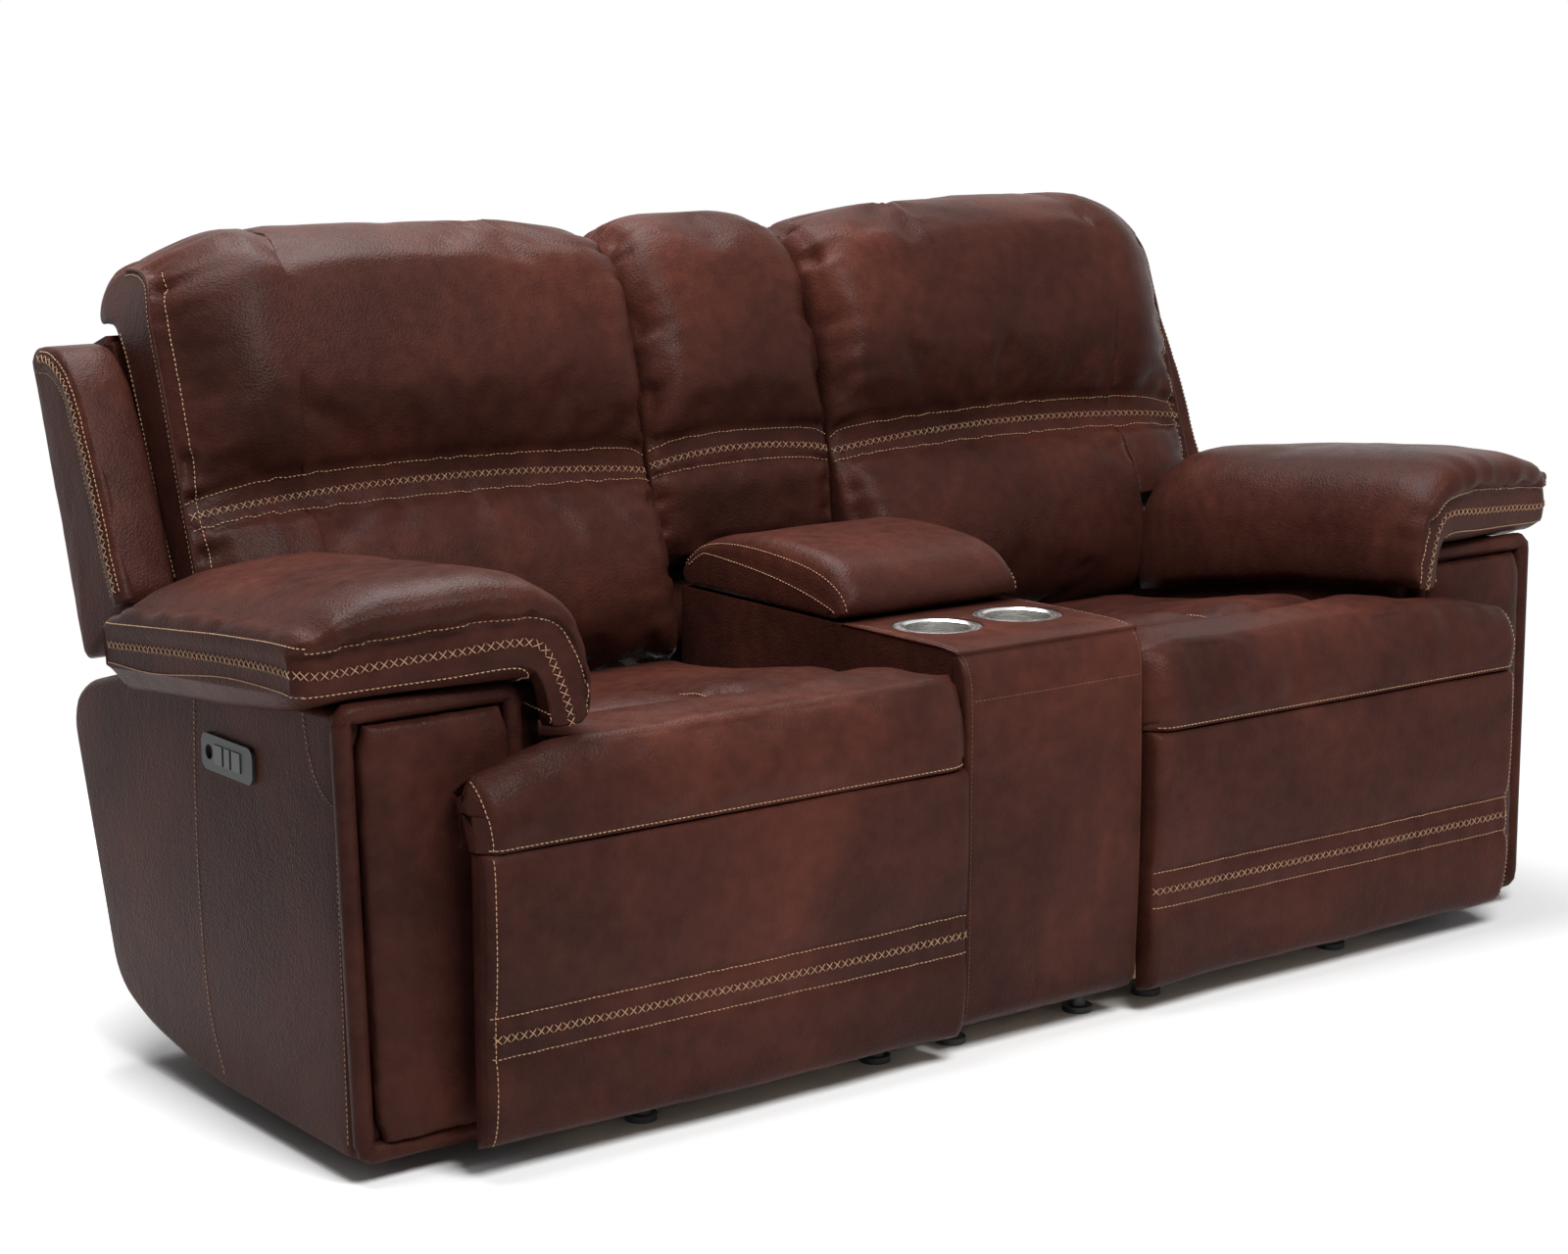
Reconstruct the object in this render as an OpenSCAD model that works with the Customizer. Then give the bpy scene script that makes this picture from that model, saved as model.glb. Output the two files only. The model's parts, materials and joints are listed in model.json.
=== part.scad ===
// Two-seat power recliner with a centre console, in millimetres
// X runs across, -Y is the front, Z is up, and the origin lies on the floor under the middle of the whole

/* [Seats] */
// Clear width for each seat between the console and the arm
seat_w = 552; // [500:4:600]
// Height of the crest of the seat's front roll
seat_h = 500; // [480:2:520]
// Fall of the seat's top from the roll to the back cushion
seat_fall = 70; // [50:5:90]
// Thickness of the front roll from front to rear
roll_t = 66; // [50:2:80]
// Height of the roll's lower seam, where the footrest starts
roll_seam_z = 384; // [374:2:400]
// How far the front roll and the footrest reach outward past the arm's inner face
tee_over = 150; // [100:5:180]
// Depth of the sewn cross channel in the seat's top
channel_depth = 12; // [4:1:20]
// Distance of that channel behind the front of the roll
channel_back = 196; // [150:2:240]

/* [Arms] */
// Thickness of an arm's box
arm_w = 278; // [240:2:300]
// Height of the arm's box at its front
arm_h = 548; // [536:2:560]
// Thickness of the arm box's walls
arm_wall = 18; // [12:1:24]
// How far the arm pad hangs over the outer face
pad_over = 49; // [30:1:60]
// Thickness of the arm pad at its middle
pad_t = 128; // [100:2:150]
// Thickness of the stuffed panel on the arm's front
arm_panel_t = 26; // [16:1:34]

/* [Console] */
// Width of the console
console_w = 300; // [280:4:340]
// Height of the console's deck
console_h = 525; // [510:5:540]
// Thickness of the console's boards
board_t = 16; // [12:1:20]
// Thickness of the stuffed panel on the console's front
console_panel_t = 30; // [20:2:40]
// Depth of the storage bin under the lid
bin_depth = 200; // [140:10:260]
// Length of the lid from front to rear
lid_l = 340; // [300:5:350]
// Thickness of the lid's pad at its middle
lid_pad_t = 74; // [50:2:90]
// Inner radius of a cup holder
cup_r = 44; // [38:1:46]
// Depth of a cup holder
cup_depth = 72; // [50:2:90]
// Radius of a cup holder's rim
cup_rim_r = 59; // [54:1:62]
// Distance between the two cup holders
cup_pitch = 136; // [130:1:150]

/* [Back] */
// Lean of the back from upright at rest
lean = 18.7; // [14:0.5:22]
// Length of the back from the recline pivot to the seam on the headrest's top
back_l = 694; // [680:1:706]
// Rise of the headrest's crown above that seam
crown_rise = 44; // [10:1:50]
// How far the headrest's top leans back over the back panel
crown_over = 70; // [40:1:84]
// Distance from the pivot to the stitched band between lumbar and head cushions
band_s = 352; // [340:1:364]
// Distance of the back's rear face behind the pivot
back_rear = 120; // [100:2:130]
// Distance of the plywood panel's rear face behind the pivot
frame_rear = 56; // [50:1:64]
// Thickness of the lumbar cushion
lumbar_t = 156; // [120:2:170]
// Thickness of the head cushion in front of the back panel
head_t = 186; // [150:2:200]
// Thickness of the plywood back panel
panel_t = 15; // [10:1:20]
// Thickness of the rear cover
cover_t = 11; // [8:1:14]
// Width of the side wing
wing_w = 84; // [60:2:90]
// Thickness of the side wing from front to rear, at its middle height
wing_t = 131; // [110:1:140]
// How much further forward the wing's foot reaches than its top
wing_taper = 38; // [0:2:50]
// How far the wing's outer face lies inside the arm's
wing_inset = 39; // [30:1:60]

/* [Mechanism] */
// Height of the recline pivot
pivot_z = 330; // [320:2:340]
// Distance of the recline pivot behind the middle
pivot_y = 170; // [160:2:180]
// Radius of the recline pivot's pin
pivot_r = 8; // [6:0.5:10]
// Distance of the torque tube in front of the middle
tube_y = 300; // [290:2:310]
// Height of the torque tube
tube_z = 290; // [284:1:294]
// Radius of the torque tube
tube_r = 12.5; // [10:0.5:14]
// Length of the crank link between its pivots
crank_l = 220; // [216:1:226]
// Length of the push link between its pivots
push_l = 293; // [288:1:300]
// Height of the footrest's pivot when it is closed
foot_pivot_z = 120; // [114:1:126]
// Width of the links
link_w = 30; // [24:1:36]
// Thickness of the links
link_t = 5; // [4:0.5:6]
// Radius of the link pivots' pins
pin_r = 6; // [5:0.5:8]
// Thickness of the mechanism's side plates
plate_t = 5; // [4:0.5:6]
// Thickness of the seat frame's rails
rail_t = 30; // [24:1:36]
// Height of the seat frame's rails
rail_h = 38; // [30:1:42]

/* [Base] */
// Height of the feet
foot_h = 30; // [24:1:36]
// Radius of the feet
foot_r = 20; // [16:1:26]
// Height of the cross rails that the whole stands on
base_h = 24; // [20:1:26]

/* [Controls] */
// Length of the control panel on the arm's outer face
bezel_l = 126; // [116:2:140]
// Height of the control panel
bezel_h = 44; // [40:1:50]
// Height of the control panel's middle above the floor
bezel_z = 450; // [440:1:460]
// Distance of its middle in front of the whole's middle
bezel_y = 130; // [100:2:150]
// Travel of each key
key_travel = 1.5; // [1:0.1:2]

/* [Hidden] */

// Running gap between soft pieces that meet, and between a pin and its hole
soft_gap = 0.6;
pad_gap = 1.2;
fit_gap = 0.3;
pin_gap = 0.06;
seam_gap = 4;

// Colours of the materials
leather = [0.27, 0.13, 0.1];
steel = [0.32, 0.33, 0.35];
bright = [0.75, 0.75, 0.76];
timber = [0.72, 0.56, 0.38];
black = [0.05, 0.05, 0.05];
cloth = [0.1, 0.1, 0.11];

// Plan: console, seat and arm follow each other outward from the middle
front_y = -492;
console_x = console_w / 2;
seat_x0 = console_x + seam_gap;
seat_x1 = seat_x0 + seat_w;
arm_x0 = seat_x1 + seam_gap;
arm_x1 = arm_x0 + arm_w;
tee_x0 = console_x + 11;
tee_x1 = arm_x0 + tee_over;
seat_mid_x = (seat_x0 + seat_x1) / 2;
plate_x0 = seat_x0 + 44;
plate_x1 = seat_x1 - 44;

// Depth: the roll's front is the frontmost point, and the pieces behind it follow from it
roll_back_y = front_y + roll_t;
board_y = front_y + 37;
board_d = 16;
seat_back_y = 112;
arm_front_low = front_y + 100;
arm_front_top = front_y + 112;

// Heights
base_z = foot_h;
base_top = base_z + base_h;
seat_frame_z = tube_z + tube_r + 15.5;
web_z = seat_frame_z + rail_h;
web_t = 2.5;
seat_under = web_z + 2 * web_t + soft_gap;
skirt_z = 52;
arm_low_z = 27;
arm_kink_z = arm_h - 16;
arm_slope_y = 150;
arm_slope_z = arm_h - 42;

// Base rails
cross_front_y = front_y + 95;
cross_rear_y = 135;
cross_w = 30;
rear_panel_z0 = base_top + 44;
rear_panel_z1 = pivot_z - 40;
rear_panel_slope = 0.3125;
function rear_panel_y(z) = pivot_y - 15 + rear_panel_slope * (z - rear_panel_z0);
rear_panel_gap = 7;

// Back, in its own leaning frame: y runs rearward from the pivot and z runs up the back
panel_y1 = frame_rear - fit_gap;
panel_y0 = panel_y1 - panel_t;
cushion_y = panel_y0 - soft_gap;
back_x0 = console_x + 12;
back_x1 = arm_x1 - wing_inset - wing_w;
lumbar_x1 = seat_x1 - 4;
shelf_s = 262;
panel_s0 = 34;
panel_s1 = 600;
cover_s1 = 612;
cushion_s0 = 76;
cushion_shelf_s = 215;
band_half = 16;
bracket_t = 4;
bracket_y = cushion_y - bracket_t - 1;
head_seam = 44;
hinge_s = band_s;
hinge_y = -10;
hinge_x = 150;
hinge_r = 11;
hinge_pin_r = 5;
wing_x0 = back_x1 + soft_gap;
wing_s0 = 188;
wing_rise = 72;
wing_s1 = 622;
wing_fall = 26;
mid_x = console_x + 6;
mid_s0 = 214;
mid_frame_s0 = 64;
mid_strut_x = 100;
mid_strut_w = 20;
mid_s1 = back_l - 8;

// Links of the footrest, in the plane of the seat's side
foot_pivot_y = board_y + board_d + 24;
p0 = [-tube_y, tube_z];
p2 = [foot_pivot_y, foot_pivot_z];
function crank_angle(p) =
    let (d = norm(p - p0))
    atan2(p[1] - p0[1], p[0] - p0[0])
    + acos((crank_l * crank_l + d * d - push_l * push_l) / (2 * crank_l * d));
function knee(p) = p0 + crank_l * [cos(crank_angle(p)), sin(crank_angle(p))];
q = knee(p2);
crank_x = plate_t + fit_gap;
push_x = crank_x + link_t + fit_gap;
foot_x = push_x + link_t + fit_gap;
pin_l = 2 * link_t + fit_gap + 2;

// Motor and its rail
rail_x = 12;
motor_z = tube_z - 32;
motor_y0 = -250;
motor_y1 = 96;
yoke_y = 128;
block_y = -40;

// Console
deck_front_y = front_y + 45;
box_front_y = front_y + 51;
box_rear_y = lid_l - 200;
lid_y0 = box_rear_y - lid_l - 9;
cup_y = -314;
lid_gap = 2;
lid_hinge_y = box_rear_y + 7;
lid_hinge_r = 6;
lid_hinge_z = console_h + lid_gap + 6;
lid_board_x = 118;
lid_board_t = 12;

// Feet along the two cross rails
foot_xs = [-595, -235, -110, 110, 235, 595];

function smooth(a, b, x) = let (t = min(1, max(0, (x - a) / (b - a)))) t * t * (3 - 2 * t);
function lerp(a, b, t) = a + (b - a) * t;
function crown(w, p) = pow(max(0, 1 - pow(abs(w), p)), 1 / p);
function puff(u, v, p) = crown(u, p) * crown(v, p);
function dent(w, at, width) = exp(-pow((w - at) / width, 2));
function inset(points, middle, d) =
    [for (p = points) middle + (p - middle) * (1 - d / norm(p - middle))];
function spread(i, n) = sin(90 * (2 * i / n - 1));

// A sewn form: an upper and a lower skin over one middle surface, joined in a seam all round
// at(u, v) is the middle surface and up(u, v), down(u, v) are the skins' offsets, u and v from -1 to 1
module sewn_form(at, up, down, nu = 12, nv = 12) {
    function inner(i, n) = i > 0 && i < n;
    row = nv + 1;
    upper = (nu + 1) * row;
    function low(i, j) = inner(i, nu) && inner(j, nv) ? upper + (i - 1) * (nv - 1) + j - 1 : i * row + j;
    tops = [
        for (i = [0:nu], j = [0:nv])
            let (u = spread(i, nu), v = spread(j, nv))
            at(u, v) + (inner(i, nu) && inner(j, nv) ? up(u, v) : [0, 0, 0])
    ];
    lows = [
        for (i = [1:nu - 1], j = [1:nv - 1])
            let (u = spread(i, nu), v = spread(j, nv))
            at(u, v) - down(u, v)
    ];
    top_faces = [
        for (i = [0:nu - 1], j = [0:nv - 1])
            let (a = i * row + j, b = a + 1, c = a + row + 1, d = a + row)
            each (i + j) % 2 == 0 ? [[a, b, c], [a, c, d]] : [[a, b, d], [b, c, d]]
    ];
    low_faces = [
        for (i = [0:nu - 1], j = [0:nv - 1])
            let (a = low(i, j), b = low(i, j + 1), c = low(i + 1, j + 1), d = low(i + 1, j))
            each (i + j) % 2 == 0 ? [[a, c, b], [a, d, c]] : [[a, d, b], [b, d, c]]
    ];
    polyhedron(concat(tops, lows), concat(top_faces, low_faces), convexity = 4);
}

module on_side(s) {
    if (s > 0)
        children();
    else
        mirror([1, 0, 0])
            children();
}

// An outline in Y and Z, made into a plate from x = x0
module side_plate(x0, w, points) {
    translate([x0, 0, 0])
        rotate([90, 0, 90])
            linear_extrude(w)
                polygon(points);
}

// A cylinder along X from x = x0, round a point in Y and Z
module pin_x(x0, l, point, r, fn = 32) {
    translate([x0, point[0], point[1]])
        rotate([0, 90, 0])
            cylinder(h = l, r = r, $fn = fn);
}

// The back's leaning frame
module leaning() {
    translate([0, pivot_y, pivot_z])
        rotate([-lean, 0, 0])
            children();
}

// A flat link along X between two points in Y and Z, with round ends
function arc_points(middle, r, from, to, step = 15) =
    [for (t = [from:step:to]) middle + r * [cos(t), sin(t)]];
module link_plate(x0, a, b) {
    way = atan2(b[1] - a[1], b[0] - a[0]);
    side_plate(
        x0,
        link_t,
        concat(
            arc_points(b, link_w / 2, way - 90, way + 90),
            arc_points(a, link_w / 2, way + 90, way + 270)
        )
    );
}

// A plate with round corners, its face in Y and Z and its thickness along X
module round_plate(x0, t, l, h, r) {
    translate([x0, -l / 2, -h / 2 + r])
        cube([t, l, h - 2 * r]);
    translate([x0, -l / 2 + r, -h / 2])
        cube([t, l - 2 * r, h]);
    for (y = [-1, 1], z = [-1, 1])
        pin_x(x0, t, [y * (l / 2 - r), z * (h / 2 - r)], r, 24);
}

module feet() {
    color(black)
        for (x = foot_xs, y = [cross_front_y, cross_rear_y])
            translate([x, y, 0]) {
                cylinder(h = 8, r = foot_r, $fn = 32);
                translate([0, 0, 8])
                    cylinder(h = foot_h - 8, r = foot_r * 0.55, $fn = 32);
            }
}

module cross_rail(y) {
    color(timber)
        translate([-arm_x0 + fit_gap, y - cross_w / 2, base_z])
            cube([2 * (arm_x0 - fit_gap), cross_w, base_h]);
}

// Upholstered panel across the lower rear, from arm to arm
module lower_rear_panel() {
    color(leather)
        side_plate(
            -arm_x0 + fit_gap,
            2 * (arm_x0 - fit_gap),
            [
                [rear_panel_y(rear_panel_z0), rear_panel_z0],
                [rear_panel_y(rear_panel_z0) + cover_t, rear_panel_z0],
                [rear_panel_y(rear_panel_z1) + cover_t, rear_panel_z1],
                [rear_panel_y(rear_panel_z1), rear_panel_z1]
            ]
        );
}

arm_outline = [
    [arm_front_low, arm_low_z],
    [-45, arm_low_z + 15],
    [66, arm_low_z + 33],
    [150, arm_low_z + 65],
    [190, 150],
    [219, 262],
    [248, 366],
    [276, arm_h - 108],
    [272, arm_h - 86],
    [248, arm_h - 72],
    [arm_slope_y, arm_slope_z],
    [0, arm_kink_z],
    [arm_front_top, arm_h]
];
arm_middle = [-90, 290];
arm_rim = 18;

module arm() {
    color(leather)
        difference() {
            side_plate(arm_x0, arm_w, arm_outline);
            side_plate(arm_x0 + arm_wall, arm_w - 2 * arm_wall, inset(arm_outline, arm_middle, arm_wall));
            translate([arm_x1 - arm_wall - 1, -bezel_y - bezel_l / 2 + 6, bezel_z - bezel_h / 2 + 6])
                cube([arm_wall + 2, bezel_l - 12, bezel_h - 12]);
        }
}

module arm_front_panel() {
    panel_low = 14;
    half_x = arm_w / 2 - arm_rim;
    half_z = (arm_h - arm_low_z - 25) / 2;
    mid_z = arm_low_z + panel_low + half_z;
    slope = (arm_front_top - arm_front_low) / (arm_h - arm_low_z);
    back_y = arm_front_low - fit_gap;
    color(leather)
        sewn_form(
            function (u, v) [
                arm_x0 + arm_w / 2 + half_x * u,
                back_y - 3 + slope * (half_z * (v + 1) + panel_low),
                mid_z + half_z * v
            ],
            function (u, v) [0, -(arm_panel_t - 3) * puff(u, v, 4), 0],
            function (u, v) [0, -2.6 * puff(u, v, 8), 0],
            8,
            10
        );
}

// The pad rests on the arm's sloping top, and its inner nose hangs in front of the arm
function arm_top(y) =
    y < 0 ? lerp(arm_kink_z, arm_h, y / arm_front_top) : lerp(arm_kink_z, arm_slope_z, y / arm_slope_y);
module arm_pad() {
    x0 = arm_x0 - 2;
    x1 = arm_x1 + pad_over;
    y0 = arm_front_top - 38;
    y1 = 85;
    color(leather)
        sewn_form(
            function (u, v) [
                lerp(x0, x1, (u + 1) / 2),
                lerp(y0, y1, (v + 1) / 2) - 8 * (1 - u) * (1 - v) / 4,
                arm_top(lerp(y0, y1, (v + 1) / 2)) + 42 - 18 * smooth(0.2, 1, v)
            ],
            function (u, v) [0, 0, (pad_t - 42) * puff(u, v, 4) * (1 - 0.25 * smooth(0, 1, v))],
            function (u, v) [0, 0, (42 - pad_gap - 18 * smooth(0.2, 1, v)) * puff(u, v, 9)],
            10,
            14
        );
}

// Control panel, keys and their wells, with the middle of the panel at the origin of Y and Z
key_ys = [19, -3, -25];
key_ls = [21, 14, 21];
key_h = 24;
port_y = 44;
module at_bezel() {
    translate([arm_x1, -bezel_y, bezel_z])
        children();
}

module control_bezel() {
    color(black)
        at_bezel()
            difference() {
                union() {
                    round_plate(fit_gap, 4, bezel_l, bezel_h, 12);
                    translate([-arm_wall, -bezel_l / 2 + 6.5, -bezel_h / 2 + 6.5])
                        cube([arm_wall + fit_gap + 1, bezel_l - 13, bezel_h - 13]);
                }
                pin_x(-8, 20, [port_y, 0], 9);
                for (i = [0:2])
                    translate([-8, key_ys[i] - key_ls[i] / 2, -key_h / 2])
                        cube([20, key_ls[i], key_h]);
            }
}

// A key fills its well but for a running gap and stands a little proud of the panel
module key(i) {
    color(black)
        at_bezel()
            translate([fit_gap + key_travel - 8, key_ys[i] - key_ls[i] / 2 + fit_gap, fit_gap - key_h / 2])
                cube([10.5 + key_travel, key_ls[i] - 2 * fit_gap, key_h - 2 * fit_gap]);
}

module console_box() {
    inner = console_w - 2 * board_t;
    bin_y0 = lid_y0 - 10;
    color(leather)
        difference() {
            translate([-console_x, box_front_y, base_top])
                cube([console_w, box_rear_y - box_front_y, console_h - board_t - base_top]);
            translate([-inner / 2, bin_y0 + board_t, console_h - board_t - bin_depth])
                cube([inner, box_rear_y - board_t - bin_y0 - board_t, bin_depth + 1]);
            translate([-inner / 2, box_front_y + board_t, base_top + board_t])
                cube([inner, bin_y0 - box_front_y - board_t, console_h]);
            translate([-inner / 2, bin_y0 + board_t - 1, base_top + board_t])
                cube([
                    inner,
                    box_rear_y - bin_y0 - 2 * board_t + 1,
                    console_h - bin_depth - 3 * board_t - base_top
                ]);
        }
}

module console_deck() {
    bin_y0 = lid_y0 - 10;
    color(leather)
        difference() {
            union() {
                translate([-console_x, deck_front_y, console_h - board_t])
                    cube([console_w, bin_y0 + board_t - deck_front_y, board_t]);
                for (s = [-1, 1])
                    translate([s * (console_x - board_t / 2) - board_t / 2, bin_y0, console_h - board_t])
                        cube([board_t, box_rear_y - bin_y0, board_t]);
                translate([-console_x, box_rear_y - board_t, console_h - board_t])
                    cube([console_w, board_t, board_t]);
                for (x = [-90, 90], side = [-1, 1])
                    translate([x + side * (18 + fit_gap + 6) - 6, 0, 0]) {
                        pin_x(0, 12, [lid_hinge_y, lid_hinge_z], lid_hinge_r);
                        translate([0, box_rear_y - 1, console_h - board_t])
                            cube([12, lid_hinge_y - box_rear_y + 1, board_t + 6]);
                    }
            }
            for (s = [-1, 1])
                pin_x(s * 90 - 34, 68, [lid_hinge_y, lid_hinge_z], 2.5 + pin_gap);
            for (s = [-1, 1])
                translate([s * cup_pitch / 2, cup_y, console_h - 2 * board_t])
                    cylinder(h = 3 * board_t, r = cup_r + 2.5, $fn = 64);
        }
}

module cup_holders() {
    color(bright)
        for (s = [-1, 1])
            translate([s * cup_pitch / 2, cup_y, console_h])
                rotate_extrude($fn = 64)
                    polygon([
                        [0, -cup_depth],
                        [0, -cup_depth - 1.5],
                        [cup_r + 1.5, -cup_depth - 1.5],
                        [cup_r + 1.5, 0],
                        [cup_rim_r, 0],
                        [cup_rim_r, 2],
                        [cup_r + 4, 3.5],
                        [cup_r, 1],
                        [cup_r, -cup_depth]
                    ]);
}

module console_front_panel() {
    z0 = 42;
    z1 = console_h - board_t - 1;
    back_y = box_front_y - fit_gap;
    color(leather)
        sewn_form(
            function (u, v) [(console_x - 1) * u, back_y - 2, lerp(z0, z1, (v + 1) / 2)],
            function (u, v) [0, -(console_panel_t - 2) * puff(u, v, 6) * (1 - 0.4 * smooth(0.7, 1, v)), 0],
            function (u, v) [0, -1.8 * puff(u, v, 10), 0],
            8,
            12
        );
}

module console_lid() {
    color(timber)
        translate([-lid_board_x, lid_y0 + 27, console_h + lid_gap])
            cube([2 * lid_board_x, lid_l - 29, lid_board_t]);
    color(steel)
        for (s = [-1, 1])
            translate([s * 90, 0, 0]) {
                pin_x(-18, 36, [lid_hinge_y, lid_hinge_z], lid_hinge_r);
                pin_x(-30, 60, [lid_hinge_y, lid_hinge_z], 2.5);
                translate([-18, box_rear_y - 14, console_h + lid_gap])
                    cube([36, 20, 3]);
            }
}

module console_lid_pad() {
    z0 = console_h + lid_gap + lid_board_t + soft_gap;
    color(leather)
        sewn_form(
            function (u, v) [
                (console_x - 1) * u,
                lerp(lid_y0 - 4, box_rear_y - 34, (v + 1) / 2),
                z0 + 6 - (lid_board_t - 1) * smooth(0.82, 0.95, max(abs(u), -v))
            ],
            function (u, v) [0, 0, (lid_pad_t - 6) * puff(u, v, 3.2)],
            function (u, v) [0, 0, 5.8 * puff(u, v, 10)],
            10,
            10
        );
}

// The narrow back between the seats is fixed to the console's rear
module middle_back_frame() {
    half = mid_x - 6;
    s0 = mid_frame_s0;
    color(timber)
        leaning()
            translate([-half, panel_y0, s0])
                cube([2 * half, panel_t, panel_s1 - s0]);
    color(leather)
        leaning()
            difference() {
                translate([-half, panel_y1 - 1, s0])
                    cube([2 * half, back_rear - panel_y1 + 1, cover_s1 - s0]);
                translate([-half + cover_t, panel_y1 - 2, s0 + cover_t])
                    cube([
                        2 * (half - cover_t),
                        back_rear - cover_t - panel_y1 + 2,
                        cover_s1 - s0 - 2 * cover_t
                    ]);
            }
    color(steel)
        for (x = [-mid_strut_x - mid_strut_w, mid_strut_x])
            side_plate(
                x,
                mid_strut_w,
                [
                    [box_rear_y + fit_gap, rear_panel_z0 + 16],
                    [box_rear_y + fit_gap + 12, rear_panel_z0 + 16],
                    [rear_panel_y(rear_panel_z1) - rear_panel_gap - 1, rear_panel_z1 - 4],
                    [pivot_y + 78, pivot_z + 60],
                    [pivot_y + 78, pivot_z + 110],
                    [box_rear_y + fit_gap, base_top + 200]
                ]
            );
}

module middle_back_cushion() {
    band = 2 * (band_s - mid_s0) / (mid_s1 - mid_s0) - 1;
    color(leather)
        leaning()
            sewn_form(
                function (u, v) [
                    mid_x * u * (1 - 0.3 * smooth(0.75, 1, v) * abs(u)),
                    cushion_y - 34,
                    lerp(mid_s0, mid_s1, (v + 1) / 2)
                ],
                function (u, v) [
                    0,
                    -(head_t - 60)
                        * puff(u, v, 3.5)
                        * (1 - 0.3 * dent(v, band, 0.1))
                        * lerp(0.6, 1, smooth(-1, 0.4, v)),
                    crown_rise * crown(u, 3) * smooth(0.2, 0.9, v)
                ],
                function (u, v) [0, -33 * puff(u, v, 6), 0],
                10,
                16
            );
}

module back_panel() {
    color(timber)
        leaning()
            translate([0, panel_y1, 0])
                rotate([90, 0, 0])
                    linear_extrude(panel_t)
                        polygon([
                            [back_x0 + 8, panel_s0],
                            [lumbar_x1, panel_s0],
                            [lumbar_x1, shelf_s],
                            [back_x1, shelf_s + 24],
                            [back_x1, panel_s1],
                            [back_x0 + 8, panel_s1]
                        ]);
    color(steel)
        leaning() {
            for (x = [plate_x0 + plate_t + fit_gap, plate_x1 - plate_t - fit_gap - link_t])
                difference() {
                    union() {
                        pin_x(x, link_t, [0, 0], 22);
                        side_plate(
                            x,
                            link_t,
                            [
                                [-16, -15],
                                [16, -15],
                                [panel_y0, panel_s0 + 4],
                                [panel_y0, cushion_s0 - 3],
                                [0, cushion_s0 - 12],
                                [-20, 9]
                            ]
                        );
                    }
                    pin_x(x - 1, link_t + 2, [0, 0], pivot_r + pin_gap);
                }
            for (x = [seat_mid_x - hinge_x, seat_mid_x + hinge_x - link_t])
                difference() {
                    union() {
                        pin_x(x, link_t, [hinge_y, hinge_s], hinge_r);
                        translate([x, hinge_y, hinge_s - hinge_r])
                            cube([link_t, panel_y0 - hinge_y, 2 * hinge_r]);
                    }
                    pin_x(x - 1, link_t + 2, [hinge_y, hinge_s], hinge_pin_r + pin_gap);
                }
        }
}

module lumbar_cushion() {
    s0 = cushion_s0;
    s1 = band_s - band_half;
    shelf_v = 2 * (cushion_shelf_s - s0) / (s1 - s0) - 1;
    color(leather)
        leaning()
            sewn_form(
                function (u, v) [
                    lerp(
                        back_x0,
                        lerp(lumbar_x1, back_x1 - 2, smooth(shelf_v - 0.2, shelf_v + 0.15, v)),
                        (u + 1) / 2
                    ),
                    cushion_y - 34,
                    lerp(s0, s1, (v + 1) / 2)
                ],
                function (u, v) [0, -(lumbar_t - 34) * puff(u, v, 3.6) * lerp(0.7, 1, smooth(-1, 0, v)), 0],
                function (u, v) [0, -33.6 * puff(u, v, 5), 0],
                12,
                12
            );
}

// A steel plate behind the head cushion, with an arm and a pin at each hinge
module headrest_bracket() {
    arm_x = hinge_x - link_t - fit_gap;
    color(steel)
        leaning() {
            translate([seat_mid_x - hinge_x - 20, bracket_y, band_s + 24])
                cube([2 * hinge_x + 40, bracket_t, 190]);
            translate([seat_mid_x - arm_x, bracket_y, hinge_s - hinge_r])
                cube([2 * arm_x, bracket_t, 2 * hinge_r + 24]);
            for (x = [seat_mid_x - arm_x, seat_mid_x + arm_x - link_t]) {
                pin_x(x, link_t, [hinge_y, hinge_s], hinge_r);
                translate([x, hinge_y, hinge_s - hinge_r])
                    cube([link_t, bracket_y - hinge_y + 1, 2 * hinge_r]);
            }
            for (x = [seat_mid_x - hinge_x - 3, seat_mid_x + arm_x - 1])
                pin_x(x, link_t + fit_gap + 4, [hinge_y, hinge_s], hinge_pin_r);
        }
}

module headrest_cushion() {
    s0 = band_s + band_half;
    s1 = back_l;
    rear_t = cushion_y - bracket_y + soft_gap;
    color(leather)
        leaning()
            sewn_form(
                function (u, v) [
                    lerp(
                        back_x0 + 14 * smooth(0.8, 1, v),
                        back_x1 - 2 - 26 * smooth(0.6, 1, v),
                        (u + 1) / 2
                    ),
                    cushion_y - head_seam + crown_over * smooth(0.4, 1, v),
                    lerp(s0, s1, (v + 1) / 2)
                ],
                function (u, v) [
                    0,
                    -(head_t - head_seam) * puff(u, v, 4),
                    crown_rise * crown(u, 3) * smooth(-0.2, 0.9, v)
                ],
                function (u, v) [
                    0,
                    -(head_seam - rear_t + 22 * dent(v, 0.68, 0.18)) * puff(u, v, 6),
                    -crown_rise * crown(u, 3) * smooth(0.6, 0.9, v) * crown(v, 6)
                ],
                12,
                14
            );
}

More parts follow.
